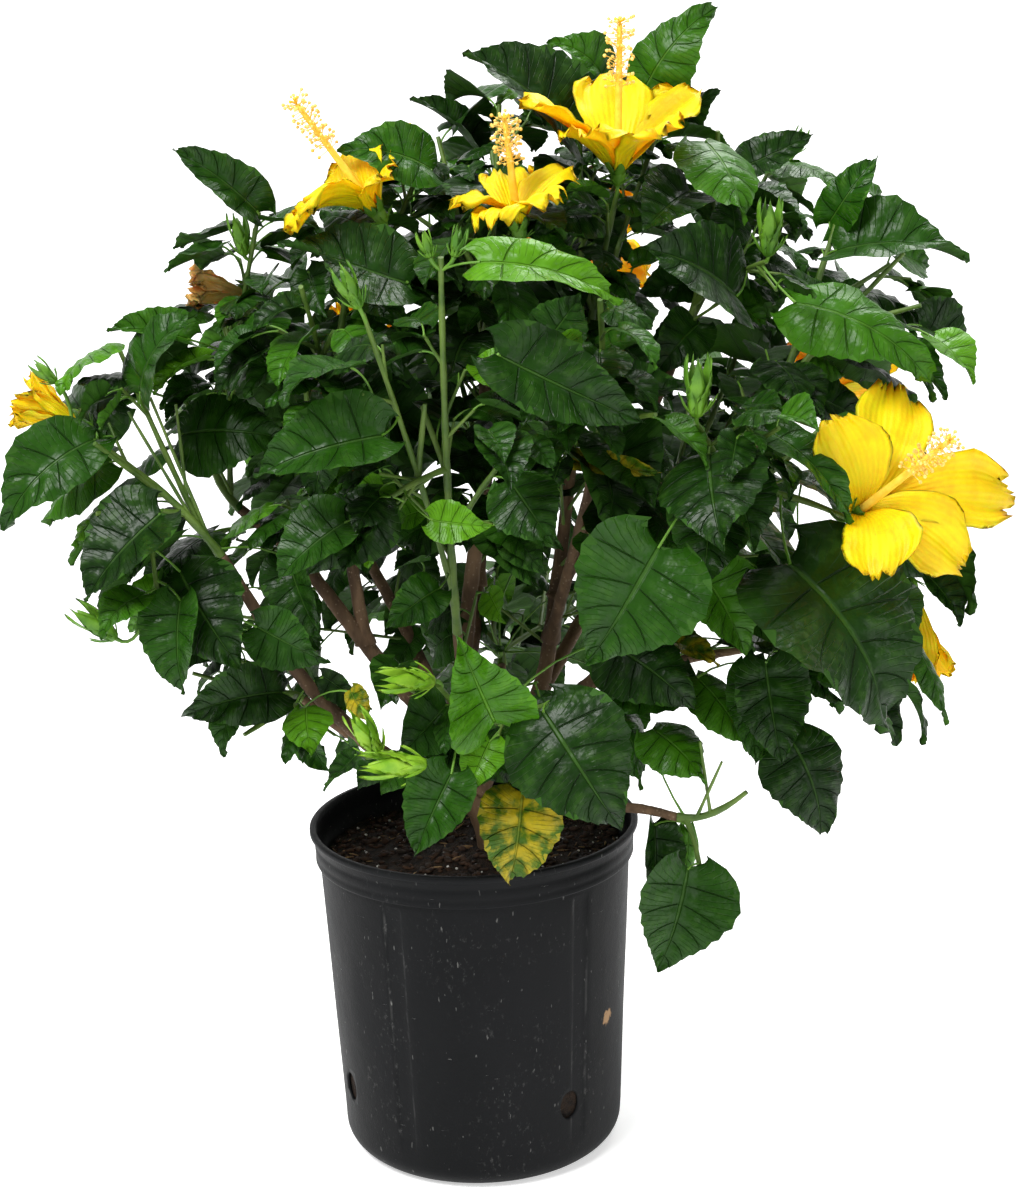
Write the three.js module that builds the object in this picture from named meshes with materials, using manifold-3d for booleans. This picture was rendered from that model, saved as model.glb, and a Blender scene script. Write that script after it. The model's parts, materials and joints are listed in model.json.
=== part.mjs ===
// A hibiscus shrub in its nursery pot: pot, potting soil, trunk, boughs and the masses of
// foliage that they carry, with blooms and buds. Millimetres, +Z up, the front looks along -Y.
// The origin is the centre of the pot's flat underside.
import * as THREE from 'three';
import { mergeVertices } from 'three/addons/utils/BufferGeometryUtils.js';
import Module from 'manifold-3d';

const wasm = await Module();
wasm.setup();

// ---------- driving dimensions, millimetres ----------
const GAP = 0.3;                     // clearance between two pieces that touch

const POT_HEIGHT = 272;
const POT_RIM_RADIUS = 133;          // outside of the lip
const POT_BAND_RADIUS = 130;         // outside of the band under the lip
const POT_BAND_HEIGHT = 27;
const POT_TOP_RADIUS = 125.5;        // outside of the wall just under the band
const POT_BASE_RADIUS = 113.5;       // outside of the wall, carried down to the floor
const POT_CORNER = 18;               // rounding between wall and underside
const POT_WALL = 2.2;
const POT_SIDES = 30;
const DRAIN_HEIGHT = 62;             // centre of a drain hole
const DRAIN_WIDTH = 18;
const DRAIN_TALL = 24;
const DRAIN_ANGLES = [-65, 37, 123, 209];   // degrees from the front, towards +X

const SOIL_LEVEL = 250;
const SOIL_SAG = 4;                  // the soil lies lower along the wall

const LIMB_SIDES = 6;
const TRUNK_FLARE = 5;               // added to the radius at the soil
const TRUNK_FLARE_HEIGHT = 22;

const STEM_RADIUS = 3.6;             // a mass's stem where it meets its bough
const TWIG_RADIUS = 2.0;             // every shoot at its tip
const SHOOT_JOINTS = 3;              // straight stretches in each shoot
const SIDE_SHARE = 0.45;             // a side shoot's foot over the stem's radius there
const NODE_SPACING = 40;             // from one leaf to the next along a shoot
const DIVERGENCE = 137.5;            // degrees that each leaf turns on from the last
const LEAF_LENGTH = [84, 116];       // shortest and longest blade
const LEAF_SHAPE = 0.92;             // width over length
const LEAF_KEEL = 2.0;               // how deep the midrib stands under the blade
const PETIOLE_LENGTH = [14, 32];
const PETIOLE_RADIUS = 0.6;          // inside the twig, from where it widens to the blade
const BLADE_CLEARANCE = 5;           // between a blade's flat oval and what runs past it
const LEAF_WIDEST = [0.34, 0.5];     // share of length, half width over width
const LEAF_ARCH = 0.06;              // rise of the midrib over length
const LEAF_DROOP = [-0.3, -1.5];     // how far a blade hangs, high in the crown and low in it
const LEAF_TRIES = 9;                // a leaf that has no room turns and shrinks this often
const LEAF_TURN = 80;                // degrees, by which it turns
const LEAF_SHRINK = 0.93;            // and what is left of its length
const LEAF_SPACING = 0.3;            // least distance between two leaves over their length
const MARGIN = 3;                    // from a leaf to the edge of its mass's space
const LIMB_CLEARANCE = 6;            // from a leaf to the bark of a limb
const POT_CLEARANCE = 6;             // and to the pot's lip
const BLOOM_CLEARANCE = 8;           // and to a bloom or bud
const SHOOT_CLEARANCE = 42;          // that space may pass halfway, this far from another mass's shoots
const SIDE_TWIG_LENGTH = [45, 85];
const SIDE_TWIG_SHARE = 0.5;         // how far along its shoot a side twig stands
const FIRST_LEAF = { stem: 0.12, shoot: 0.3, twig: 0.5 };   // share of each where its leaves begin
const LAST_LEAF = 0.97;
const CROWN_CENTRE = [35, 0, 480];
const CROWN_RADII = [400, 340, 425]; // no leaf of the rule reaches past this ellipsoid
const CROWN_FLOOR = 298;             // or under this height, which rises towards the front
const CROWN_FLOOR_RISE = 0.3;
const CROWN_FLOOR_SIDE = 0.7;        // and towards the left, from this far out
const CROWN_SIDE = -100;
const PETALS = 5;
const CALYX = 22;                    // from a bloom's foot to its throat
const PETAL_LIFT = 4;                // from the underside of the petals to their upper face
const THROAT_RADIUS = 3;
const COLUMN_RADIUS = 4;             // of a bloom's column with its stamens, and of its calyx
const COLUMN_SHARE = 1.12;           // the column over the petals
const COLUMN_SHOWS = 30;             // degrees a bloom opens before the column stands out of it
const SAMPLE_STEP = 8;               // between the points that stand for a shoot or limb

// ---------- limbs: parent, place along it, radius at foot and tip, and the course ----------
const TRUNK = { radii: [12.5, 9], course: [[18, 0, SOIL_LEVEL + GAP], [0, -5, 296], [-13, -10, 336]] };
const BOUGHS = {
  left_arm: {
    parent: 'trunk', at: 0.6, radii: [7.5, 4.2],
    course: [[-56, -30, 329], [-122, -60, 405], [-180, -84, 515]],
  },
  left_mid: {
    parent: 'trunk', at: 0.95, radii: [7, 4],
    course: [[-76, -28, 424], [-128, -24, 497], [-172, -14, 536]],
  },
  left_upper: {
    parent: 'left_mid', at: 0.35, radii: [5.5, 3.8],
    course: [[-88, -22, 500], [-95, -20, 585]],
  },
  low_left: {
    parent: 'left_arm', at: 0.3, radii: [5, 3.6],
    course: [[-98, -14, 352], [-132, -6, 378]],
  },
  front: {
    parent: 'trunk', at: 0.97, radii: [6, 3.8],
    course: [[-4, -38, 386], [-6, -68, 446]],
  },
  front_low: {
    parent: 'trunk', at: 0.78, radii: [5, 3.6],
    course: [[14, -34, 322], [10, -62, 346]],
  },
  top_left: {
    parent: 'trunk', at: 0.98, radii: [7.5, 4],
    course: [[2, 6, 450], [18, 2, 560], [20, 0, 640]],
  },
  top: {
    parent: 'trunk', at: 0.5, radii: [8, 4],
    course: [[54, 20, 366], [74, 22, 470], [92, 16, 600]],
  },
  top_right: {
    parent: 'top', at: 0.6, radii: [5.5, 3.8],
    course: [[128, 30, 550], [168, 32, 632]],
  },
  centre: {
    parent: 'top', at: 0.5, radii: [5, 3.6],
    course: [[90, -30, 515], [99, -58, 560]],
  },
  right: {
    parent: 'top', at: 0.2, radii: [7, 4],
    course: [[104, 0, 389], [160, -52, 478], [192, -84, 540]],
  },
  right_upper: {
    parent: 'right', at: 0.66, radii: [5, 3.8],
    course: [[212, -46, 540], [236, -40, 600]],
  },
  right_low: {
    parent: 'right', at: 0.34, radii: [5, 3.6],
    course: [[176, 4, 400], [222, -14, 412]],
  },
  low_right: {
    parent: 'trunk', at: 0.3, radii: [5, 3.4],
    course: [[62, -28, 290], [126, -58, 297], [160, -68, 292]],
  },
  back_left: {
    parent: 'trunk', at: 0.93, radii: [6.5, 4],
    course: [[-46, 40, 410], [-98, 96, 500]],
  },
  back: {
    parent: 'top_left', at: 0.1, radii: [6.5, 4],
    course: [[6, 60, 420], [14, 116, 520]],
  },
  back_top: {
    parent: 'back', at: 0.65, radii: [5, 3.8],
    course: [[22, 96, 560], [34, 92, 640]],
  },
  back_right: {
    parent: 'top', at: 0.3, radii: [6, 4],
    course: [[112, 66, 450], [166, 108, 520]],
  },
  back_low: {
    parent: 'trunk', at: 0.7, radii: [5, 3.6],
    course: [[18, 44, 340], [26, 96, 372]],
  },
};

// ---------- masses of foliage: one on each bough, and the tips that its shoots reach ----------
const MASSES = {
  left_arm: [[-290, -90, 622], [-250, -60, 672], [-262, -130, 560], [-222, -128, 500]],
  left_mid: [[-150, -6, 705], [-142, -40, 765], [-225, 2, 650], [-232, 60, 600]],
  left_upper: [[-62, -62, 752], [-105, -140, 720], [-18, 12, 800], [-92, -110, 620]],
  low_left: [[-185, -30, 374], [-125, -92, 392], [-212, 26, 416], [-140, 70, 380]],
  front: [[-5, -186, 742], [-58, -208, 708], [48, -196, 620], [-70, -180, 560]],
  front_low: [[-18, -186, 440], [-72, -176, 384], [72, -190, 428]],
  top_left: [[48, -70, 742], [-10, 44, 812], [38, 12, 836]],
  top: [[124, -28, 772], [100, 62, 856], [168, 30, 838]],
  top_right: [[202, 4, 812], [250, 62, 782], [228, -84, 722]],
  centre: [[104, -150, 706], [62, -186, 652], [140, -176, 628]],
  right: [[292, -112, 532], [168, -178, 622], [272, -96, 606]],
  right_upper: [[294, -22, 762], [334, -50, 722], [306, 40, 680]],
  right_low: [[296, -112, 470], [356, 6, 470], [244, -66, 386], [290, 90, 430]],
  low_right: [[212, -88, 318], [176, -92, 252]],
  back_left: [[-210, 150, 590], [-150, 215, 540], [-130, 150, 690], [-60, 220, 610]],
  back: [[20, 270, 590], [-30, 236, 700], [90, 230, 680]],
  back_top: [[30, 150, 800], [110, 140, 790], [-66, 120, 770]],
  back_right: [[290, 150, 570], [200, 230, 600], [250, 110, 700], [190, 200, 480]],
  back_low: [[-60, 190, 400], [110, 200, 400], [30, 230, 430]],
};

// ---------- openings that the crown keeps clear: a place in each and its radius, on lines from one spot ----------
const SIGHT = [36.5, -1700, 888];
const SIGHT_GAPS = [
  [[-248, 0, 592], 20],
  [[-200, 0, 556], 34],
  [[187, 0, 676], 15],
  [[273, 0, 562], 16],
  [[274, 0, 503], 15],
  [[290, 0, 735], 15],
  [[258, 0, 658], 14],
];

// ---------- what no leaf of the rule stands in front of: these shoots, and the first blooms ----------
const SHOWN_SHOOTS = { front: [0, 1] };
const SHOWN_MARGIN = 15;
const SHOWN_BLOOMS = 7;

// ---------- leaves placed by hand, where they make the outline: base and tip of the blade ----------
const PLACED_LEAVES = [
  [[-262, -110, 612], [-328, -132, 548]],
  [[-215, -132, 560], [-272, -150, 500]],
  [[-204, -140, 498], [-205, -152, 428]],
  [[-232, -90, 640], [-186, -92, 700]],
  [[-142, -40, 765], [-204, -40, 812]],
  [[-212, -34, 600], [-128, -44, 592]],
  [[-30, -100, 716], [-122, -110, 752]],
  [[-12, -40, 792], [-82, -50, 806]],
  [[20, -200, 740], [116, -190, 708]],
  [[-48, -190, 622], [-140, -192, 596]],
  [[30, -200, 678], [132, -192, 622]],
  [[96, 8, 808], [12, -8, 876]],
  [[146, 22, 840], [206, 22, 902]],
  [[222, 22, 784], [278, 22, 806]],
  [[285, -34, 724], [382, -56, 716]],
  [[246, -94, 694], [341, -126, 634]],
  [[282, -20, 742], [318, -20, 792]],
  [[140, -200, 540], [88, -214, 458]],
  [[22, -200, 414], [-2, -232, 490]],
  [[55, -214, 428], [106, -240, 344]],
  [[-10, -190, 376], [-40, -204, 318]],
  [[40, -150, 345], [30, -156, 276]],
  [[166, -98, 262], [138, -112, 182]],
  [[-155, -112, 468], [-100, -122, 438]],
  [[170, -54, 276], [152, -50, 214]],
  [[235, -158, 516], [304, -172, 392]],
  [[176, -122, 502], [206, -130, 438]],
  [[246, -86, 360], [266, -94, 282]],
  [[224, -112, 430], [232, -130, 352]],
  [[160, -30, 412], [94, -66, 379]],
  [[142, -60, 363], [182, -90, 326]],
  [[235, -60, 408], [215, -100, 344]],
  [[190, -20, 807], [216, -70, 747]],
  [[209, -70, 695], [134, -120, 737]],
  [[179, -20, 770], [138, -60, 742]],
];

// ---------- blooms: foot of the calyx, the way it faces, petal length, degrees open ----------
const BLOOMS = [
  [[282, -136, 541], [0.5, -0.62, 0.6], 86, 66],
  [[124, -30, 776], [0.02, -0.2, 1], 92, 44],
  [[-48, -60, 756], [-0.55, -0.05, 0.8], 80, 46],
  [[50, -92, 742], [-0.1, -0.12, 1], 62, 54],
  [[-146, -10, 699], [-1, -0.1, 0.2], 34, 8],
  [[-270, -78, 612], [-0.72, 0.15, 0.35], 40, 24],
  [[352, 0, 462], [0.05, -0.1, -0.95], 62, 22],
  [[-80, 200, 585], [-0.3, 0.9, 0.3], 76, 60],
  [[92, 236, 686], [0.1, 0.85, 0.5], 84, 64],
  [[296, 156, 574], [0.6, 0.6, 0.45], 80, 58],
];

// ---------- buds: foot, the way it points, length ----------
const BUDS = [
  [[-20, -190, 444], [-0.9, -0.3, 0.15], 44],
  [[-62, -190, 390], [-0.4, -0.2, 0.85], 42],
  [[-28, -196, 384], [-1, -0.2, 0.1], 50],
  [[168, -180, 626], [0.05, -0.1, 1], 46],
  [[229, -86, 726], [0.05, -0.1, 1], 44],
  [[268, 70, 790], [0.4, 0.1, 0.9], 22],
  [[-155, -36, 733], [-0.15, 0, 1], 34],
  [[-292, -88, 650], [-0.7, 0, 0.7], 24],
  [[-256, -122, 464], [-0.74, -0.1, 0.66], 42],
  [[-12, -188, 742], [-0.3, 0, 1], 20],
  [[4, -188, 742], [0.3, 0, 1], 22],
  [[-60, -210, 712], [-0.4, -0.1, 0.9], 34],
];

// ---------- colours ----------
const MATERIALS = {
  pot: { color: 0x1d1e20, roughness: 0.55, metalness: 0 },
  soil: { color: 0x2b1d14, roughness: 0.95, metalness: 0 },
  bark: { color: 0x7d6248, roughness: 0.85, metalness: 0 },
  foliage: { color: 0x1f5a1c, roughness: 0.4, metalness: 0 },
};

// ---------- small helpers ----------
const point = ([x, y, z]) => new THREE.Vector3(x, y, z);
const unit = (vector) => vector.clone().normalize();
const along = (start, way, far) => start.clone().addScaledVector(way, far);
const mix = ([low, high], share) => low + (high - low) * share;
const radians = (degrees) => degrees * Math.PI / 180;
const UP = new THREE.Vector3(0, 0, 1);
const FRONT = new THREE.Vector3(0, -0.7, 0);

// Park-Miller numbers from 0 to 1, the same on every run.
function seeded(seed) {
  let state = seed * 7919 % 2147483647;
  return () => (state = state * 16807 % 2147483647) / 2147483647;
}

// Two directions square to a way, the first also square to a given axis.
function across(way, axis = Math.abs(way.z) > 0.95 ? new THREE.Vector3(0, 1, 0) : UP) {
  const side = axis.clone().cross(way).normalize();
  return [side, way.clone().cross(side).normalize()];
}

// The axis that a curve bends about, so that sections laid along it don't twist.
function bendAxis(curve) {
  const turn = curve.getTangent(0).cross(curve.getTangent(1));
  return turn.length() > 0.02 ? turn.normalize() : across(curve.getTangent(0))[0];
}

// ---------- solids ----------
function solidOf(vertices, triangles) {
  const mesh = new wasm.Mesh({
    numProp: 3,
    vertProperties: new Float32Array(vertices.flatMap((p) => [p.x, p.y, p.z])),
    triVerts: new Uint32Array(triangles.flat()),
  });
  return new wasm.Manifold(mesh);
}

// A closed skin over rings of equal count, counter-clockwise about the way they run.
// A last ring of one point closes it to a tip.
function loft(rings) {
  const count = rings[0].length;
  const pointed = rings.at(-1).length === 1;
  const last = rings.length - (pointed ? 2 : 1);
  const triangles = [];
  for (let i = 1; i < count - 1; i++) triangles.push([0, i + 1, i]);
  for (let ring = 0; ring < last; ring++) {
    for (let i = 0; i < count; i++) {
      const a = ring * count + i;
      const b = ring * count + (i + 1) % count;
      triangles.push([a, b, b + count], [a, b + count, a + count]);
    }
  }
  const end = last * count;
  for (let i = 0; i < count; i++) {
    if (pointed) triangles.push([end + i, end + (i + 1) % count, end + count]);
    else if (i > 0 && i < count - 1) triangles.push([end, end + i, end + i + 1]);
  }
  return solidOf(rings.flat(), triangles);
}

// A round section of some sides about a centre.
function section(centre, way, radius, sides, axis) {
  const [first, second] = across(way, axis);
  return Array.from({ length: sides }, (_, i) => {
    const angle = 2 * Math.PI * i / sides;
    return along(along(centre, first, Math.cos(angle) * radius), second, Math.sin(angle) * radius);
  });
}

// The sections of a tapering rod along a curve.
function sections(curve, radiusAt, sides, shares) {
  const axis = bendAxis(curve);
  return shares.map((share) => (
    section(curve.getPoint(share), curve.getTangent(share), radiusAt(share), sides, axis)));
}

const evenly = (steps) => Array.from({ length: steps + 1 }, (_, i) => i / steps);

const rod = (curve, radiusAt, sides, steps) => loft(sections(curve, radiusAt, sides, evenly(steps)));

function union(solids) {
  let layer = solids;
  while (layer.length > 1) {
    const next = [];
    for (let i = 0; i < layer.length; i += 2) {
      next.push(i + 1 < layer.length ? layer[i].add(layer[i + 1]) : layer[i]);
    }
    layer = next;
  }
  return layer[0];
}

// The one largest body of a solid: loose scraps go.
function largest(solid) {
  return solid.decompose().reduce((best, body) => (body.volume() > best.volume() ? body : best));
}

function fromGeometry(geometry) {
  const bare = geometry.clone();
  bare.deleteAttribute('normal');
  bare.deleteAttribute('uv');
  const merged = mergeVertices(bare, 1e-4);
  return new wasm.Manifold(new wasm.Mesh({
    numProp: 3,
    vertProperties: new Float32Array(merged.attributes.position.array),
    triVerts: new Uint32Array(merged.index.array),
  }));
}

function nodeOf(name, solid, material) {
  const { vertProperties, triVerts } = solid.getMesh();
  const geometry = new THREE.BufferGeometry();
  geometry.setAttribute('position', new THREE.BufferAttribute(vertProperties, 3));
  geometry.setIndex(new THREE.BufferAttribute(triVerts, 1));
  geometry.computeVertexNormals();
  const mesh = new THREE.Mesh(geometry, new THREE.MeshStandardMaterial(MATERIALS[material]));
  mesh.name = name;
  return mesh;
}

// A profile in radius and height, turned about +Z.
function turned(profile) {
  const geometry = new THREE.LatheGeometry(profile.map(([r, z]) => new THREE.Vector2(r, z)), POT_SIDES);
  geometry.rotateX(Math.PI / 2);
  return fromGeometry(geometry);
}

// ---------- pot and soil ----------
const wallRadius = (z) => mix([POT_BASE_RADIUS, POT_TOP_RADIUS], z / (POT_HEIGHT - POT_BAND_HEIGHT));

function corner(radius, bottom, bend) {
  const steps = 3;
  return Array.from({ length: steps + 1 }, (_, i) => {
    const angle = radians(90 * i / steps);
    return [radius - bend + bend * Math.sin(angle), bottom + bend - bend * Math.cos(angle)];
  });
}

function potSolid() {
  const band = POT_HEIGHT - POT_BAND_HEIGHT;
  const lip = 4;
  const outside = [
    [0, 0], ...corner(wallRadius(POT_CORNER), 0, POT_CORNER), [wallRadius(band), band - 3],
    [POT_BAND_RADIUS - 1, band], [POT_BAND_RADIUS, POT_HEIGHT - lip - 1],
    [POT_RIM_RADIUS, POT_HEIGHT - lip], [POT_RIM_RADIUS, POT_HEIGHT],
  ];
  const inside = [
    [POT_BAND_RADIUS - POT_WALL, POT_HEIGHT], [POT_BAND_RADIUS - 1 - POT_WALL, band + 2],
    [wallRadius(band) - POT_WALL, band],
    ...corner(wallRadius(POT_CORNER) - POT_WALL, POT_WALL, POT_CORNER - POT_WALL).reverse(), [0, POT_WALL],
  ];
  const holes = DRAIN_ANGLES.map((degrees) => {
    const drill = new THREE.CylinderGeometry(DRAIN_WIDTH / 2, DRAIN_WIDTH / 2, 4 * POT_WALL + 10, 12);
    drill.scale(1, 1, DRAIN_TALL / DRAIN_WIDTH);
    drill.translate(0, -wallRadius(DRAIN_HEIGHT), DRAIN_HEIGHT);
    drill.rotateZ(radians(degrees));
    return fromGeometry(drill);
  });
  return holes.reduce((pot, hole) => pot.subtract(hole), turned([...outside, ...inside]));
}

function soilSolid() {
  const inner = (z) => wallRadius(z) - POT_WALL - GAP;
  const bend = POT_CORNER - POT_WALL;
  const edge = SOIL_LEVEL - SOIL_SAG - 4;
  return turned([
    [0, POT_WALL + GAP],
    ...corner(inner(POT_CORNER), POT_WALL + GAP, bend),
    [inner(edge), edge],
    [0.75 * inner(edge), SOIL_LEVEL - SOIL_SAG / 3],
    [0.45 * inner(edge), SOIL_LEVEL],
    [0, SOIL_LEVEL],
  ]);
}

// ---------- limbs ----------
const limbs = {};

// Each limb runs through its course as one curve; a bough's foot lies on its parent's axis.
function layLimb(name, { parent, at, radii, course }) {
  const foot = parent ? [limbs[parent].curve.getPoint(at)] : [];
  const curve = new THREE.CatmullRomCurve3([...foot, ...course.map(point)], false, 'catmullrom');
  const taper = (share) => mix(radii, share);
  const flared = (share) => {
    const rise = (curve.getPoint(share).z - SOIL_LEVEL) / TRUNK_FLARE_HEIGHT;
    return taper(share) + TRUNK_FLARE * Math.max(0, 1 - rise) ** 2;
  };
  limbs[name] = { curve, radiusAt: parent ? taper : flared, parent };
}

// The same limb, fatter all round by a clearance, and as much longer.
function limbSolid({ curve, radiusAt }, more) {
  const steps = curve.points.length + 2;
  const solid = rod(curve, (share) => radiusAt(share) + more, LIMB_SIDES, steps);
  if (!more) return solid;
  const end = curve.getPoint(1);
  const cap = [end, along(end, curve.getTangent(1), more)];
  return solid.add(loft(cap.map((centre) => (
    section(centre, curve.getTangent(1), radiusAt(1) + more, LIMB_SIDES, bendAxis(curve))))));
}

layLimb('trunk', TRUNK);
for (const [name, bough] of Object.entries(BOUGHS)) layLimb(name, bough);

function limbNodes() {
  const depth = 40;
  const floor = new THREE.BoxGeometry(2 * depth, 2 * depth, depth);
  floor.translate(TRUNK.course[0][0], 0, SOIL_LEVEL + GAP - depth / 2);
  const laid = [];
  return Object.entries(limbs).map(([name, limb]) => {
    let solid = limbSolid(limb, 0);
    if (name === 'trunk') solid = solid.subtract(fromGeometry(floor));
    for (const other of laid) solid = solid.subtract(limbSolid(other, 1.15 * GAP));
    laid.push(limb);
    return nodeOf(limb.parent ? `bough_${name}` : name, largest(solid), 'bark');
  });
}

// ---------- the space that each mass keeps to ----------
const spaces = {};                   // points on each mass's shoots, placed leaves and blooms
const lines = [];                    // shoots, petioles and blade edges
const ovals = [];                    // blades
const limbPoints = [];
const leafCentres = [];
const blossom = [];                  // points on blooms and buds
const shields = [];                  // placed leaves, and what else no leaf may hide

function samples(curve) {
  const count = Math.max(2, Math.ceil(curve.getLength() / SAMPLE_STEP));
  return evenly(count).map((share) => ({ share, place: curve.getPoint(share) }));
}

for (const limb of Object.values(limbs)) {
  for (const { share, place } of samples(limb.curve)) {
    limbPoints.push({ place, radius: limb.radiusAt(share) });
  }
}

const sight = point(SIGHT);
const openings = SIGHT_GAPS.map(([place, radius]) => ({ way: unit(point(place).sub(sight)), radius }));

const nearest = (place, places) => Math.sqrt(places.reduce(
  (least, other) => Math.min(least, place.distanceToSquared(other)), Infinity));

function hasRoom(name, places) {
  return places.every((place) => {
    const own = nearest(place, spaces[name]);
    const clearOfLimbs = limbPoints.every((limb) => (
      place.distanceTo(limb.place) > limb.radius + LIMB_CLEARANCE));
    const clearOfPot = place.z > POT_HEIGHT + POT_CLEARANCE
      || Math.hypot(place.x, place.y) > POT_RIM_RADIUS + POT_CLEARANCE;
    const [x, y, z] = place.clone().sub(point(CROWN_CENTRE)).toArray();
    const inCrown = Math.hypot(x / CROWN_RADII[0], y / CROWN_RADII[1], z / CROWN_RADII[2]) < 1
      && place.z > CROWN_FLOOR + CROWN_FLOOR_RISE * Math.max(0, -place.y)
        + CROWN_FLOOR_SIDE * Math.max(0, CROWN_SIDE - place.x);
    const inOpening = openings.some(({ way, radius }) => (
      place.clone().sub(sight).cross(way).length() < radius));
    const apart = Math.min(own + MARGIN, SHOOT_CLEARANCE);
    const inOwnSpace = Object.entries(spaces).every(
      ([other, points]) => other === name || nearest(place, points) > apart);
    return clearOfLimbs && clearOfPot && inCrown && !inOpening && inOwnSpace;
  });
}

const outward = (place) => unit(place.clone().sub(point(CROWN_CENTRE)));

// ---------- shoots ----------
// A course of straight joints along a curve, so that what is rooted on it meets its rod.
function jointed(curve) {
  const joints = Array.from({ length: SHOOT_JOINTS + 1 }, (_, i) => curve.getPoint(i / SHOOT_JOINTS));
  const before = (share) => Math.min(SHOOT_JOINTS - 1, Math.floor(share * SHOOT_JOINTS));
  return {
    getPoint: (share) => joints[before(share)].clone().lerp(
      joints[before(share) + 1], share * SHOOT_JOINTS - before(share)),
    getTangent: (share) => curve.getTangent(share),
    getLength: () => joints.slice(1).reduce((sum, joint, i) => sum + joint.distanceTo(joints[i]), 0),
  };
}

// A shoot leaves the stem that carries it along a way, and bends to its tip.
function shoot(start, way, tip, radii) {
  const curve = new THREE.QuadraticBezierCurve3(start, along(start, way, 0.4 * start.distanceTo(tip)), tip);
  return { curve: jointed(curve), radiusAt: (share) => mix(radii, share) };
}

// The way a side shoot starts: between the stem's way and its tip.
const branching = (way, start, tip) => (
  unit(unit(tip.clone().sub(start)).addScaledVector(way, 0.25)));

function layShoots(name, tips) {
  const bough = limbs[name].curve;
  const way = bough.getTangent(1);
  const stem = shoot(along(bough.getPoint(1), way, GAP), way, point(tips[0]), [STEM_RADIUS, TWIG_RADIUS]);
  const shoots = [stem];
  tips.slice(1).forEach((tip, i) => {
    const share = 0.12 + 0.2 * i;
    const foot = stem.curve.getPoint(share);
    const start = branching(stem.curve.getTangent(share), foot, point(tip));
    shoots.push(shoot(foot, start, point(tip), [stem.radiusAt(share) * SIDE_SHARE, TWIG_RADIUS]));
  });
  return shoots;
}

const shootsOf = {};
for (const [name, tips] of Object.entries(MASSES)) {
  shootsOf[name] = layShoots(name, tips);
  spaces[name] = shootsOf[name].flatMap(({ curve }) => samples(curve).map(({ place }) => place));
  lines.push(...shootsOf[name].flatMap(linesAlong));
}

function linesAlong({ curve }) {
  const places = samples(curve).map(({ place }) => place);
  return places.slice(1).map((place, i) => [places[i], place]);
}

// ---------- leaves ----------
// The blade's own directions: ahead, to its side, and up out of its upper face.
function bladeAxes(base, tip, facing) {
  const ahead = unit(tip.clone().sub(base));
  const side = unit(ahead.clone().cross(facing));
  return { ahead, side, face: side.clone().cross(ahead) };
}

function bladePlaces(base, tip, facing, width) {
  const { side } = bladeAxes(base, tip, facing);
  const places = [base, tip, base.clone().lerp(tip, 0.5)];
  for (const [share, half] of [[0.15, 0.42], [0.42, 0.5], [0.72, 0.3]]) {
    const middle = base.clone().lerp(tip, share);
    places.push(along(middle, side, half * width), along(middle, side, -half * width));
  }
  return places;
}

// The blade as a flat oval, and the lines round it and down its petiole.
function bladeShape(root, base, tip, facing, width) {
  const { ahead, side, face } = bladeAxes(base, tip, facing);
  const [, , centre, ...edge] = bladePlaces(base, tip, facing, width);
  const [rightLow, leftLow, right, left, rightHigh, leftHigh] = edge;
  const round = [base, rightLow, right, rightHigh, tip, leftHigh, left, leftLow];
  const drawn = round.map((place, i) => [place, round[(i + 1) % round.length]]);
  drawn.push([root.clone().lerp(base, 0.35), base], [base, tip], [left, right]);
  const long = base.distanceTo(tip) / 2;
  return {
    oval: { centre: along(centre, face, LEAF_ARCH * long), ahead, side, face, long, wide: width / 2 },
    lines: drawn,
  };
}

function pierces([from, to], { centre, ahead, side, face, long, wide }) {
  const before = from.clone().sub(centre).dot(face);
  const after = to.clone().sub(centre).dot(face);
  if (before * after > 0 && Math.min(Math.abs(before), Math.abs(after)) > BLADE_CLEARANCE) return false;
  const share = Math.abs(before - after) < 0.01 ? 0.5 : Math.min(1, Math.max(0, before / (before - after)));
  const cut = from.clone().lerp(to, share).sub(centre);
  return Math.hypot(cut.dot(ahead) / long, cut.dot(side) / wide) < 1.05;
}

function crosses(shape) {
  return lines.some((line) => pierces(line, shape.oval))
    || ovals.some((oval) => shape.lines.some((line) => pierces(line, oval)));
}

function keepShape(shape) {
  lines.push(...shape.lines);
  ovals.push(shape.oval);
}

// Left edge, right edge and keel of a leaf where it runs along a way.
function leafRing(centre, way, side, half, rise, keel) {
  const right = unit(side.clone().addScaledVector(way, -side.dot(way)));
  const up = right.clone().cross(way);
  const middle = along(centre, up, rise);
  return [along(middle, right, -half), along(middle, right, half), along(centre, up, -keel)];
}

// Petiole and blade as one three-sided skin; the blade arches over its length.
function leafSolid(root, base, tip, facing, width) {
  const { ahead, side, face } = bladeAxes(base, tip, facing);
  const stalk = unit(base.clone().sub(root));
  const turn = unit(stalk.clone().add(ahead));
  const [share, half] = LEAF_WIDEST;
  const arch = LEAF_ARCH * base.distanceTo(tip);
  const middle = along(base.clone().lerp(tip, share), face, arch);
  return loft([
    leafRing(root, stalk, side, PETIOLE_RADIUS, 0.5 * PETIOLE_RADIUS, PETIOLE_RADIUS),
    leafRing(base, turn, side, 1.5 * PETIOLE_RADIUS, 0, 2 * PETIOLE_RADIUS),
    leafRing(middle, ahead, side, half * width, 0, LEAF_KEEL),
    [tip],
  ]);
}

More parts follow.
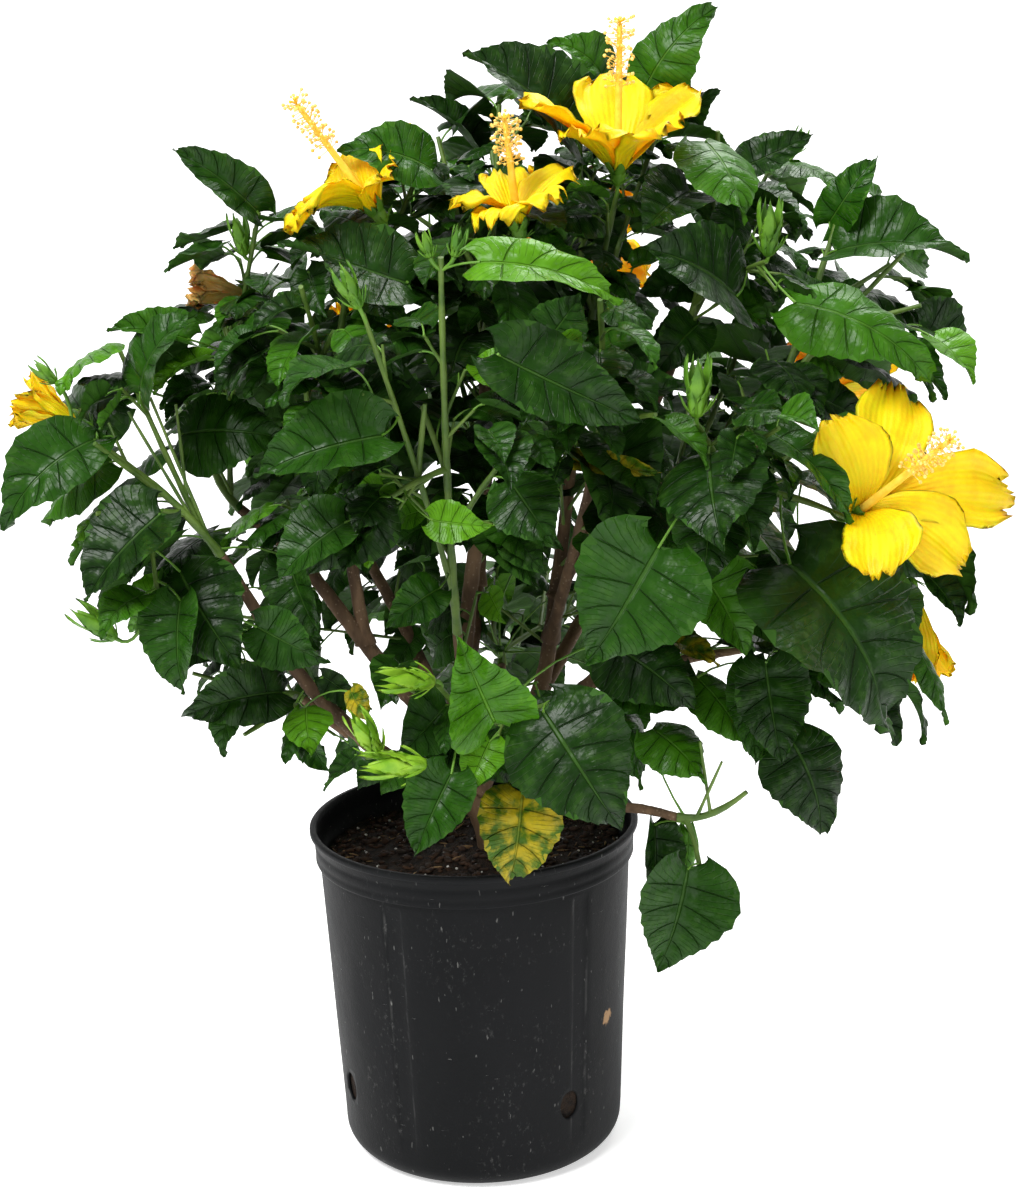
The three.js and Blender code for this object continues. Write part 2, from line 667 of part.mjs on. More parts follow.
// Where a stalk that ends at a place leaves the shoots: near it, and from behind it.
function footOf(place) {
  let best = { cost: Infinity };
  for (const [name, shoots] of Object.entries(shootsOf)) {
    for (const { curve } of shoots) {
      for (const { share, place: foot } of samples(curve).slice(1, -1)) {
        const stalk = place.clone().sub(foot);
        const lean = unit(stalk).dot(curve.getTangent(share));
        const cost = stalk.length() * (1.5 - 0.5 * lean);
        if (cost < best.cost) best = { cost, name, foot };
      }
    }
  }
  return best;
}

const facingOf = (place) => unit(outward(place).multiplyScalar(0.8).add(new THREE.Vector3(0, -0.15, 0.7)));

function placedLeaf(base, tip) {
  const facing = facingOf(base).add(FRONT);
  const width = LEAF_SHAPE * base.distanceTo(tip);
  const { name, foot: root } = footOf(base);
  spaces[name].push(...bladePlaces(base, tip, facing, width));
  keepShape(bladeShape(root, base, tip, facing, width));
  const centre = base.clone().lerp(tip, 0.5);
  leafCentres.push(centre);
  shields.push({ centre, radius: 0.42 * base.distanceTo(tip) });
  return { name, solids: [leafSolid(root, base, tip, facing, width)] };
}

const hides = (place) => shields.some(({ centre, radius }) => (
  place.y < centre.y && Math.hypot(place.x - centre.x, place.z - centre.z) < radius));

// One leaf of the seeded rule at a node of a shoot, or nothing where it has no room.
function ruleLeaf(name, node, way, turn, share, draws) {
  const [first, second] = across(way);
  const out = outward(node);
  const low = 1 - Math.min(1, Math.max(0, (node.z - SOIL_LEVEL) / 600));
  for (let trial = 0; trial < LEAF_TRIES; trial++) {
    const angle = radians(turn + LEAF_TURN * trial);
    const shrink = LEAF_SHRINK ** trial * (1 - 0.35 * share ** 2);
    const length = mix(LEAF_LENGTH, draws[0]) * shrink;
    const ring = first.clone().multiplyScalar(Math.cos(angle)).addScaledVector(second, Math.sin(angle));
    const stalk = unit(ring.addScaledVector(way, 0.5).addScaledVector(out, 0.55));
    const base = along(node, stalk, mix(PETIOLE_LENGTH, draws[1]) * shrink);
    const heading = new THREE.Vector3(stalk.x + 0.3 * out.x, stalk.y + 0.3 * out.y, 0.35 * stalk.z);
    heading.normalize().addScaledVector(UP, mix(LEAF_DROOP, 0.35 * draws[2] + 0.65 * low));
    const tip = along(base, unit(heading), length);
    if (stalk.dot(unit(heading)) < -0.2) continue;
    const facing = facingOf(base).addScaledVector(first, 1.2 * (draws[3] - 0.5));
    const places = [...bladePlaces(base, tip, facing, LEAF_SHAPE * length), node.clone().lerp(base, 0.6)];
    const centre = base.clone().lerp(tip, 0.5);
    if (nearest(centre, leafCentres) < LEAF_SPACING * length || places.some(hides)) continue;
    if (places.some((place) => nearest(place, blossom) < BLOOM_CLEARANCE)) continue;
    const shape = bladeShape(node, base, tip, facing, LEAF_SHAPE * length);
    if (crosses(shape) || !hasRoom(name, places)) continue;
    keepShape(shape);
    leafCentres.push(centre);
    return leafSolid(node, base, tip, facing, LEAF_SHAPE * length);
  }
  return null;
}

// Leaves along a shoot, each turned on from the last, from its foot to its tip.
function leavesAlong(name, { curve }, random, start) {
  const leaves = [];
  const count = Math.floor(curve.getLength() / NODE_SPACING);
  let turn = 360 * random();
  for (let i = 0; i <= count; i++) {
    const draws = [random(), random(), random(), random()];
    turn += DIVERGENCE;
    const share = mix([start, LAST_LEAF], i / Math.max(1, count));
    const leaf = ruleLeaf(name, curve.getPoint(share), curve.getTangent(share), turn, share, draws);
    if (leaf) leaves.push(leaf);
  }
  return leaves;
}

// Short twigs that the rule adds to the shoots, where there is room.
function sideTwigs(name, random) {
  const twigs = [];
  for (const parent of shootsOf[name].slice(0, 2)) {
    const [first, second] = across(parent.curve.getTangent(SIDE_TWIG_SHARE));
    const angle = 2 * Math.PI * random();
    const length = mix(SIDE_TWIG_LENGTH, random());
    const start = parent.curve.getPoint(SIDE_TWIG_SHARE);
    const way = parent.curve.getTangent(SIDE_TWIG_SHARE).addScaledVector(first, Math.cos(angle))
      .addScaledVector(second, Math.sin(angle)).addScaledVector(outward(start), 0.6);
    const tip = along(start, unit(way), length);
    if (!hasRoom(name, [start.clone().lerp(tip, 0.5), tip])) continue;
    const foot = parent.radiusAt(SIDE_TWIG_SHARE) * SIDE_SHARE;
    const twig = shoot(start, unit(way), tip, [foot, TWIG_RADIUS]);
    lines.push(...linesAlong(twig));
    twigs.push(twig);
  }
  return twigs;
}

// ---------- blooms and buds ----------
const stalkRadius = (share) => mix([0.5 * TWIG_RADIUS, TWIG_RADIUS], share);

// The curve of a stalk that leaves its shoot and ends at a place, running along a way.
function stalkCurve(foot, end, way) {
  return new THREE.QuadraticBezierCurve3(foot, along(end, way, -0.4 * foot.distanceTo(end)), end);
}

// A funnel of five lobes in one skin: from the calyx out along its underside, back along its
// upper face to the throat, and up the column. Every second point is the notch between petals.
function placedBloom([foot, axis, petal, open]) {
  const start = point(foot);
  const way = unit(point(axis));
  const [first, second] = across(way);
  const throat = along(start, way, CALYX);
  const tilt = radians(open);
  const lobes = (share, lean, lift, notch) => Array.from({ length: 2 * PETALS }, (_, i) => {
    const angle = Math.PI * i / PETALS;
    const out = first.clone().multiplyScalar(Math.cos(angle)).addScaledVector(second, Math.sin(angle));
    const far = share * petal * (i % 2 ? notch : 1);
    const rise = far * Math.cos(lean * tilt) + lift;
    return along(along(throat, way, rise), out, far * Math.sin(lean * tilt) + THROAT_RADIUS);
  });
  const shown = open > COLUMN_SHOWS;
  const column = along(throat, way, shown ? COLUMN_SHARE * petal : 2 * PETAL_LIFT);
  const rim = lobes(1, 1.1, 0, 0.7);
  const bloom = loft([
    section(start, way, COLUMN_RADIUS, 2 * PETALS),
    lobes(0, 1, 0, 1),
    lobes(0.6, 0.85, 0, 0.9),
    rim,
    lobes(0.985, 1.1, PETAL_LIFT, 0.7),
    lobes(0.58, 0.85, PETAL_LIFT, 0.9),
    lobes(0.05, 1, PETAL_LIFT, 1),
    shown ? section(column, way, COLUMN_RADIUS, 2 * PETALS) : [column],
  ]);
  rim.forEach((place, i) => lines.push([place, rim[(i + 1) % rim.length]]));
  for (let i = 0; i < rim.length; i += 2) {
    const ahead = unit(rim[i].clone().sub(throat));
    const side = unit(ahead.clone().cross(way));
    ovals.push({
      centre: throat.clone().lerp(rim[i], 0.55),
      ahead,
      side,
      face: side.clone().cross(ahead),
      long: 0.5 * petal,
      wide: 0.4 * petal * Math.sin(Math.min(tilt, 1)),
    });
  }
  const { name, foot: root } = footOf(start);
  spaces[name].push(...cornersOf(bloom));
  blossom.push(...cornersOf(bloom));
  return { name, solids: [rod(stalkCurve(root, along(start, way, 2), way), stalkRadius, 3, 2), bloom] };
}

function cornersOf(solid) {
  const { vertProperties } = solid.getMesh();
  return Array.from({ length: vertProperties.length / 3 }, (_, i) => (
    new THREE.Vector3(...vertProperties.slice(3 * i, 3 * i + 3))));
}

// A bud and its stalk in one skin.
function placedBud([foot, axis, length]) {
  const start = point(foot);
  const way = unit(point(axis));
  const { name, foot: root } = footOf(start);
  const stalk = stalkCurve(root, start, way);
  const rings = sections(stalk, stalkRadius, 4, [0, 0.5, 0.95]);
  rings.push(...[[0.28, 0.21], [0.65, 0.17]].map(
    ([share, wide]) => section(along(start, way, share * length), way, wide * length, 4, bendAxis(stalk))));
  const bud = loft([...rings, [along(start, way, length)]]);
  const corners = cornersOf(bud).filter((place) => place.distanceTo(start) < length);
  spaces[name].push(...corners);
  blossom.push(...corners);
  return { name, solids: [bud] };
}

// ---------- the masses ----------
function shieldShown() {
  for (const [name, shown] of Object.entries(SHOWN_SHOOTS)) {
    for (const { place } of shown.flatMap((i) => samples(shootsOf[name][i].curve))) {
      shields.push({ centre: place, radius: SHOWN_MARGIN });
    }
  }
  for (const [foot, axis, petal] of BLOOMS.slice(0, SHOWN_BLOOMS)) {
    const centre = along(point(foot), unit(point(axis)), CALYX + 0.5 * petal);
    shields.push({ centre, radius: 0.45 * petal });
  }
}

function foliageNodes() {
  const piecesOf = Object.fromEntries(Object.keys(MASSES).map((name) => [name, []]));
  const placed = [...BLOOMS.map(placedBloom), ...BUDS.map(placedBud),
    ...PLACED_LEAVES.map(([base, tip]) => placedLeaf(point(base), point(tip)))];
  for (const { name, solids } of placed) piecesOf[name].push(...solids);
  shieldShown();
  return Object.keys(MASSES).map((name, index) => {
    const random = seeded(index + 1);
    const twigs = sideTwigs(name, random);
    const pieces = piecesOf[name];
    for (const { curve, radiusAt } of [...shootsOf[name], ...twigs]) {
      pieces.push(rod(curve, radiusAt, 3, SHOOT_JOINTS));
    }
    shootsOf[name].forEach((each, i) => {
      pieces.push(...leavesAlong(name, each, random, i ? FIRST_LEAF.shoot : FIRST_LEAF.stem));
    });
    for (const twig of twigs) pieces.push(...leavesAlong(name, twig, random, FIRST_LEAF.twig));
    return nodeOf(`foliage_${name}`, largest(union(pieces)), 'foliage');
  });
}

const plant = new THREE.Group();
plant.add(nodeOf('nursery_pot', potSolid(), 'pot'));
plant.add(nodeOf('potting_soil', soilSolid(), 'soil'));
plant.add(...limbNodes());
plant.add(...foliageNodes());

export default plant;
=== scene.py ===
"""A hibiscus shrub in its nursery pot: the finished looks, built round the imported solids."""

import json
import math

import bmesh
import bpy
import numpy as np
from mathutils import Matrix, Vector, noise

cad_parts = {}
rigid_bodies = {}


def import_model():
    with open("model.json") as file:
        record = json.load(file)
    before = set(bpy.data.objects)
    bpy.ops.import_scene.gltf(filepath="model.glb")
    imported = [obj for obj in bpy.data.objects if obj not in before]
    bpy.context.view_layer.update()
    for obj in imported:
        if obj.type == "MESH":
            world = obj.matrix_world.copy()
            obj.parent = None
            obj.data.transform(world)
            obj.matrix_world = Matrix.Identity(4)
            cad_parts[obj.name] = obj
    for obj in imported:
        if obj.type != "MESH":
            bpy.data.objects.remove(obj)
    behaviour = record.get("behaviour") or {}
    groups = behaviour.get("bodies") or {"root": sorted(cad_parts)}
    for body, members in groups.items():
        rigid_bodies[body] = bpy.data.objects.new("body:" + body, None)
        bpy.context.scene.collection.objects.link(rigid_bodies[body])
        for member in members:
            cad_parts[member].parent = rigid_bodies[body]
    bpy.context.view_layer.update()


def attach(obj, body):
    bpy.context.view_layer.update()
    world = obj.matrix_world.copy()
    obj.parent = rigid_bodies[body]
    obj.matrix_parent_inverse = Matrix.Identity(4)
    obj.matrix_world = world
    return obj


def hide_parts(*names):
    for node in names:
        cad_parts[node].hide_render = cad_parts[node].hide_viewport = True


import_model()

bl_info = {
    "name": "Potted hibiscus",
    "version": (1, 0, 0),
    "blender": (4, 5, 0),
    "location": "View3D > Sidebar > Hibiscus",
    "description": "Builds a hibiscus shrub in its nursery pot, piece by piece",
    "category": "Object",
}

MM = 0.001
BODY = "root"

# ---------- the plant's named sizes, millimetres, as in the part's source ----------
GAP = 0.3
POT_HEIGHT = 272
POT_RIM_RADIUS = 133
POT_BAND_RADIUS = 130
POT_BAND_HEIGHT = 27
POT_TOP_RADIUS = 125.5
POT_BASE_RADIUS = 113.5
POT_CORNER = 18
POT_WALL = 2.2
DRAIN_HEIGHT = 62
DRAIN_WIDTH = 18
DRAIN_TALL = 24
DRAIN_ANGLES = (-65, 37, 123, 209)
SOIL_LEVEL = 250
SOIL_SAG = 4
TRUNK_FLARE = 5
TRUNK_FLARE_HEIGHT = 22
STEM_RADIUS = 3.6
TWIG_RADIUS = 2.0
SHOOT_JOINTS = 3
NODE_SPACING = 40
DIVERGENCE = 137.5
LEAF_LENGTH = (84, 116)
LEAF_SHAPE = 0.92
PETIOLE_LENGTH = (14, 32)
BLADE_CLEARANCE = 5
LEAF_ARCH = 0.06
LEAF_DROOP = (-0.3, -1.5)
LEAF_TRIES = 9
LEAF_TURN = 80
LEAF_SHRINK = 0.93
LEAF_SPACING = 0.3
MARGIN = 3
LIMB_CLEARANCE = 6
POT_CLEARANCE = 6
BLOOM_CLEARANCE = 8
SHOOT_CLEARANCE = 42
SIDE_TWIG_LENGTH = (45, 85)
SIDE_TWIG_SHARE = 0.5
FIRST_LEAF = {"stem": 0.12, "shoot": 0.3, "twig": 0.5}
LAST_LEAF = 0.97
CROWN_CENTRE = np.array([35.0, 0.0, 480.0])
CROWN_RADII = np.array([400.0, 340.0, 425.0])
CROWN_FLOOR = 298
CROWN_FLOOR_RISE = 0.3
CROWN_FLOOR_SIDE = 0.7
CROWN_SIDE = -100
SHOWN_SHOOTS = {"front": [0, 1]}
SHOWN_MARGIN = 15
SHOWN_BLOOMS = 7
SIGHT = np.array([36.5, -1700.0, 888.0])
SIGHT_GAPS = [
    [[-248, 0, 592], 20],
    [[-200, 0, 556], 34],
    [[187, 0, 676], 15],
    [[273, 0, 562], 16],
    [[274, 0, 503], 15],
    [[290, 0, 735], 15],
    [[258, 0, 658], 14],
]
PETALS = 5
CALYX = 22
PETAL_LIFT = 4
THROAT_RADIUS = 3
COLUMN_RADIUS = 4
COLUMN_SHARE = 1.12
COLUMN_SHOWS = 30
SAMPLE_STEP = 8
UP = np.array([0.0, 0.0, 1.0])
FRONT = np.array([0.0, -0.7, 0.0])
SKY = np.array([0.0, -0.15, 0.7])

# The scene's finer growth, which the part's source leaves out.
FINE_STEP = 19
FINE_START = 0.06
FINE_TWIG_SHARE = 0.5
FINE_TWIG_LENGTH = (24, 46)
FINE_LENGTH = (50, 96)
FINE_SPACING = 0.2
FINE_CLEARANCE = 2
SPUR_START = 0.4
SPUR_STEP = 20
SPUR_LENGTH = (40, 85)
# Twigs with no leaves of their own: the mass, its shoot, the share along it and the twig's tip.
BARE_TWIGS = [
    ("left_arm", 0, 0.08, [-223, -95, 638]),
    ("left_arm", 0, 0.2, [-239, -100, 629]),
    ("left_mid", 0, 0.1, [-191, -40, 591]),
    ("left_arm", 1, 0.25, [-207, -80, 630]),
    ("low_right", 0, 0.3, [192, -100, 347]),
    ("low_right", 0, 0.5, [176, -95, 362]),
]
# Leaves that the scene places beside the source's: base, tip, width over the usual one, and tone.
MORE_LEAVES = [
    (106, -70, 437, 172, -90, 384, 0.9, "dark"), (217, -80, 415, 215, -110, 349, 0.9, "dark"),
    (176, -60, 404, 214, -80, 348, 0.8, "green"), (143, -60, 285, 134, -75, 214, 0.5, "dark"),
    (114, -40, 379, 133, -60, 312, 0.8, "dark"), (150, -40, 428, 195, -60, 412, 0.7, "yellowing"),
    (355, -40, 476, 379, -60, 436, 0.9, "dark"), (343, -60, 427, 366, -80, 364, 0.55, "green"),
    (-142, -50, 398, -221, -60, 381, 0.6, "dark"), (-177, -50, 392, -189, -60, 349, 0.6, "dark"),
    (-133, -60, 508, -108, -80, 445, 0.8, "dark"), (-112, -60, 413, -74, -70, 386, 0.7, "dark"),
    (-16, -130, 497, -55, -140, 469, 0.8, "green"), (190, 30, 665, 152, 10, 625, 0.8, "dark"),
    (218, -140, 610, 278, -170, 545, 0.55, "green"), (20, 60, 800, -31, 50, 842, 0.6, "dark"),
    (122, 70, 846, 75, 60, 879, 0.8, "green"), (180, 40, 816, 208, 30, 841, 0.8, "dark"),
    (-196, -60, 675, -256, -70, 685, 0.7, "green"), (-110, -30, 721, -96, -50, 685, 0.9, "dark"),
    (-19, -190, 561, 25, -200, 556, 0.95, "young"), (83, -120, 586, 146, -150, 581, 0.3, "yellowing"),
    (-86, -120, 419, -70, -130, 396, 0.8, "yellowing"), (-50, 60, 484, -19, 50, 449, 0.9, "dark"),
    (12, 70, 439, 29, 60, 395, 0.9, "dark"), (-92, 50, 484, -112, 40, 434, 0.9, "dark"),
    (-138, 20, 460, -117, 10, 414, 0.9, "dark"), (81, 80, 440, 62, 70, 390, 0.9, "dark"),
    (-107, 40, 522, -132, 30, 484, 0.9, "dark"), (-36, 40, 420, -58, 30, 378, 0.9, "dark"),
    (4, 90, 499, -30, 80, 469, 0.9, "dark"), (129, 40, 364, 104, 20, 320, 0.9, "dark"),
    (44, 100, 462, 76, 90, 420, 0.9, "dark"), (267, 20, 540, 300, 0, 502, 0.9, "dark"),
    (-73, 80, 436, -98, 70, 392, 0.9, "dark"), (184, 60, 655, 151, 50, 624, 1.0, "dark"),
    (193, 60, 690, 141, 50, 681, 0.8, "dark"),
]


# ---------- the plant's courses and places, millimetres, as in the part's source ----------
TRUNK = {"radii": [12.5, 9], "course": [[18, 0, SOIL_LEVEL + GAP], [0, -5, 296], [-13, -10, 336]]}
# Each bough: its parent, the share along it, radii at foot and tip, and the course.
BOUGHS = {
    "left_arm": ("trunk", 0.6, [7.5, 4.2], [[-56, -30, 329], [-122, -60, 405], [-180, -84, 515]]),
    "left_mid": ("trunk", 0.95, [7, 4], [[-76, -28, 424], [-128, -24, 497], [-172, -14, 536]]),
    "left_upper": ("left_mid", 0.35, [5.5, 3.8], [[-88, -22, 500], [-95, -20, 585]]),
    "low_left": ("left_arm", 0.3, [5, 3.6], [[-98, -14, 352], [-132, -6, 378]]),
    "front": ("trunk", 0.97, [6, 3.8], [[-4, -38, 386], [-6, -68, 446]]),
    "front_low": ("trunk", 0.78, [5, 3.6], [[14, -34, 322], [10, -62, 346]]),
    "top_left": ("trunk", 0.98, [7.5, 4], [[2, 6, 450], [18, 2, 560], [20, 0, 640]]),
    "top": ("trunk", 0.5, [8, 4], [[54, 20, 366], [74, 22, 470], [92, 16, 600]]),
    "top_right": ("top", 0.6, [5.5, 3.8], [[128, 30, 550], [168, 32, 632]]),
    "centre": ("top", 0.5, [5, 3.6], [[90, -30, 515], [99, -58, 560]]),
    "right": ("top", 0.2, [7, 4], [[104, 0, 389], [160, -52, 478], [192, -84, 540]]),
    "right_upper": ("right", 0.66, [5, 3.8], [[212, -46, 540], [236, -40, 600]]),
    "right_low": ("right", 0.34, [5, 3.6], [[176, 4, 400], [222, -14, 412]]),
    "low_right": ("trunk", 0.3, [5, 3.4], [[62, -28, 290], [126, -58, 297], [160, -68, 292]]),
    "back_left": ("trunk", 0.93, [6.5, 4], [[-46, 40, 410], [-98, 96, 500]]),
    "back": ("top_left", 0.1, [6.5, 4], [[6, 60, 420], [14, 116, 520]]),
    "back_top": ("back", 0.65, [5, 3.8], [[22, 96, 560], [34, 92, 640]]),
    "back_right": ("top", 0.3, [6, 4], [[112, 66, 450], [166, 108, 520]]),
    "back_low": ("trunk", 0.7, [5, 3.6], [[18, 44, 340], [26, 96, 372]]),
}
# Each mass: the tips of its stem and of its shoots.
MASSES = {
    "left_arm": [[-290, -90, 622], [-250, -60, 672], [-262, -130, 560], [-222, -128, 500]],
    "left_mid": [[-150, -6, 705], [-142, -40, 765], [-225, 2, 650], [-232, 60, 600]],
    "left_upper": [[-62, -62, 752], [-105, -140, 720], [-18, 12, 800], [-92, -110, 620]],
    "low_left": [[-185, -30, 374], [-125, -92, 392], [-212, 26, 416], [-140, 70, 380]],
    "front": [[-5, -186, 742], [-58, -208, 708], [48, -196, 620], [-70, -180, 560]],
    "front_low": [[-18, -186, 440], [-72, -176, 384], [72, -190, 428]],
    "top_left": [[48, -70, 742], [-10, 44, 812], [38, 12, 836]],
    "top": [[124, -28, 772], [100, 62, 856], [168, 30, 838]],
    "top_right": [[202, 4, 812], [250, 62, 782], [228, -84, 722]],
    "centre": [[104, -150, 706], [62, -186, 652], [140, -176, 628]],
    "right": [[292, -112, 532], [168, -178, 622], [272, -96, 606]],
    "right_upper": [[294, -22, 762], [334, -50, 722], [306, 40, 680]],
    "right_low": [[296, -112, 470], [356, 6, 470], [244, -66, 386], [290, 90, 430]],
    "low_right": [[212, -88, 318], [176, -92, 252]],
    "back_left": [[-210, 150, 590], [-150, 215, 540], [-130, 150, 690], [-60, 220, 610]],
    "back": [[20, 270, 590], [-30, 236, 700], [90, 230, 680]],
    "back_top": [[30, 150, 800], [110, 140, 790], [-66, 120, 770]],
    "back_right": [[290, 150, 570], [200, 230, 600], [250, 110, 700], [190, 200, 480]],
    "back_low": [[-60, 190, 400], [110, 200, 400], [30, 230, 430]],
}
# Base and tip.
PLACED_LEAVES = [
    (-262, -110, 612, -328, -132, 548), (-215, -132, 560, -272, -150, 500), (-204, -140, 498, -205, -152, 428),
    (-232, -90, 640, -186, -92, 700), (-142, -40, 765, -204, -40, 812), (-212, -34, 600, -128, -44, 592),
    (-30, -100, 716, -122, -110, 752), (-12, -40, 792, -82, -50, 806), (20, -200, 740, 116, -190, 708),
    (-48, -190, 622, -140, -192, 596), (30, -200, 678, 132, -192, 622), (96, 8, 808, 12, -8, 876),
    (146, 22, 840, 206, 22, 902), (222, 22, 784, 278, 22, 806), (285, -34, 724, 382, -56, 716),
    (246, -94, 694, 341, -126, 634), (282, -20, 742, 318, -20, 792), (140, -200, 540, 88, -214, 458),
    (22, -200, 414, -2, -232, 490), (55, -214, 428, 106, -240, 344), (-10, -190, 376, -40, -204, 318),
    (40, -150, 345, 30, -156, 276), (166, -98, 262, 138, -112, 182), (-155, -112, 468, -100, -122, 438),
    (170, -54, 276, 152, -50, 214), (235, -158, 516, 304, -172, 392), (176, -122, 502, 206, -130, 438),
    (246, -86, 360, 266, -94, 282), (224, -112, 430, 232, -130, 352), (160, -30, 412, 94, -66, 379),
    (142, -60, 363, 182, -90, 326), (235, -60, 408, 215, -100, 344), (190, -20, 807, 216, -70, 747),
    (209, -70, 695, 134, -120, 737), (179, -20, 770, 138, -60, 742),
]
# By their row in PLACED_LEAVES; the others are dark and of the usual width.
PLACED_TONES = {
    7: "green", 8: "young", 12: "green", 15: "green", 16: "green", 18: "young", 21: "yellowing",
    24: "young", 26: "green", 30: "green", 32: "green",
}
PLACED_WIDTHS = {
    0: 0.62, 4: 0.6, 7: 0.8, 8: 0.5, 9: 0.75, 10: 0.7, 12: 0.72, 13: 0.75, 14: 0.8, 15: 0.65, 16: 0.65,
    17: 1.2, 19: 1.15, 22: 1.15, 24: 0.35, 25: 1.1,
}
# Start, way, petal length and how far it opens in degrees.
BLOOMS = [
    [[282, -136, 541], [0.5, -0.62, 0.6], 86, 66],
    [[124, -30, 776], [0.02, -0.2, 1], 92, 44],
    [[-48, -60, 756], [-0.55, -0.05, 0.8], 80, 46],
    [[50, -92, 742], [-0.1, -0.12, 1], 62, 54],
    [[-146, -10, 699], [-1, -0.1, 0.2], 34, 8],
    [[-270, -78, 612], [-0.72, 0.15, 0.35], 40, 24],
    [[352, 0, 462], [0.05, -0.1, -0.95], 62, 22],
    [[-80, 200, 585], [-0.3, 0.9, 0.3], 76, 60],
    [[92, 236, 686], [0.1, 0.85, 0.5], 84, 64],
    [[296, 156, 574], [0.6, 0.6, 0.45], 80, 58],
]
# Start, way and length.
BUDS = [
    [[-20, -190, 444], [-0.9, -0.3, 0.15], 44],
    [[-62, -190, 390], [-0.4, -0.2, 0.85], 42],
    [[-28, -196, 384], [-1, -0.2, 0.1], 50],
    [[168, -180, 626], [0.05, -0.1, 1], 46],
    [[229, -86, 726], [0.05, -0.1, 1], 44],
    [[268, 70, 790], [0.4, 0.1, 0.9], 22],
    [[-155, -36, 733], [-0.15, 0, 1], 34],
    [[-292, -88, 650], [-0.7, 0, 0.7], 24],
    [[-256, -122, 464], [-0.74, -0.1, 0.66], 42],
    [[-12, -188, 742], [-0.3, 0, 1], 20],
    [[4, -188, 742], [0.3, 0, 1], 22],
    [[-60, -210, 712], [-0.4, -0.1, 0.9], 34],
]


# ---------- vectors and curves ----------
def unit(vector):
    return vector / np.linalg.norm(vector)


def mix(pair, share):
    return pair[0] + (pair[1] - pair[0]) * share


def across(way, axis=None):
    """Two directions square to a way, the first also square to an axis."""
    if axis is None:
        axis = np.array([0.0, 1.0, 0.0]) if abs(way[2]) > 0.95 else UP
    side = unit(np.cross(axis, way))
    return side, unit(np.cross(way, side))


def spoke(way, angle):
    """The direction square to a way that is turned round it by an angle."""
    first, second = across(way)
    return first * math.cos(angle) + second * math.sin(angle)


def even_turns(count):
    return 2 * np.pi * np.arange(count) / count


def around(angles, first, second):
    """Directions at these angles from the first of two towards the second."""
    return np.outer(np.cos(angles), first) + np.outer(np.sin(angles), second)


def sine(turns):
    return np.sin(2 * np.pi * turns)


def seeded(seed):
    """Park-Miller numbers from 0 to 1, the same on every run."""
    state = seed * 7919 % 2147483647

    def draw():
        nonlocal state
        state = state * 16807 % 2147483647
        return state / 2147483647

    return draw


class Curve:
    """A course whose way at a share is read from two places close to it."""

    def way(self, share):
        return unit(self.place(min(1, share + 1e-4)) - self.place(max(0, share - 1e-4)))

    def length(self, steps=200):
        places = np.array([self.place(i / steps) for i in range(steps + 1)])
        return np.linalg.norm(np.diff(places, axis=0), axis=1).sum()


class Spline(Curve):
    """A smooth curve through its points."""

    def __init__(self, points):
        points = [np.array(point, float) for point in points]
        self.points = [2 * points[0] - points[1], *points, 2 * points[-1] - points[-2]]

    def place(self, share):
        at = share * (len(self.points) - 3)
        first = min(int(at), len(self.points) - 4)
        t = at - first
        a, b, c, d = self.points[first : first + 4]
        start, end = 0.5 * (c - a), 0.5 * (d - b)
        return b + start * t + (3 * (c - b) - 2 * start - end) * t**2 + (2 * (b - c) + start + end) * t**3


class Bend(Curve):
    """A quadratic curve from a start over a middle to an end."""

    def __init__(self, start, middle, end):
        self.points = start, middle, end

    def place(self, share):
        start, middle, end = self.points
        return (1 - share) ** 2 * start + 2 * share * (1 - share) * middle + share**2 * end


class Jointed:
    """Straight joints along a bend, on which leaves are rooted by the rule."""

    def __init__(self, bend):
        self.bend = bend
        self.joints = [bend.place(i / SHOOT_JOINTS) for i in range(SHOOT_JOINTS + 1)]
        self.span = np.linalg.norm(np.diff(self.joints, axis=0), axis=1).sum()

    def place(self, share):
        before = min(SHOOT_JOINTS - 1, int(share * SHOOT_JOINTS))
        t = share * SHOOT_JOINTS - before
        return self.joints[before] * (1 - t) + self.joints[before + 1] * t

    def way(self, share):
        return self.bend.way(share)


def shares_of(length):
    count = max(2, math.ceil(length / SAMPLE_STEP))
    return [i / count for i in range(count + 1)]


class Rows:
    """Rows of numbers that grow in number."""

    def __init__(self, width):
        self.data = np.empty((2048, width))
        self.count = 0

    def add(self, rows):
        rows = np.asarray(rows, float).reshape(-1, self.data.shape[1])
        while self.count + len(rows) > len(self.data):
            self.data = np.concatenate([self.data, np.empty_like(self.data)])
        self.data[self.count : self.count + len(rows)] = rows
        self.count += len(rows)

    @property
    def all(self):
        return self.data[: self.count]


def distances(places, others):
    return np.linalg.norm(places[:, None] - others[None], axis=2)


# ---------- the growth rule ----------
def outward(place):
    return unit(place - CROWN_CENTRE)


def facing_of(place):
    return unit(0.8 * outward(place) + SKY)


def blade_axes(base, tip, facing):
    ahead = unit(tip - base)
    side = unit(np.cross(ahead, facing))
    return ahead, side, np.cross(side, ahead)


def blade_places(base, tip, facing, width):
    side = blade_axes(base, tip, facing)[1]
    places = [base, tip, (base + tip) / 2]
    for share, half in ((0.15, 0.42), (0.42, 0.5), (0.72, 0.3)):
        middle = base + (tip - base) * share
        places += [middle + side * half * width, middle - side * half * width]
    return np.array(places)


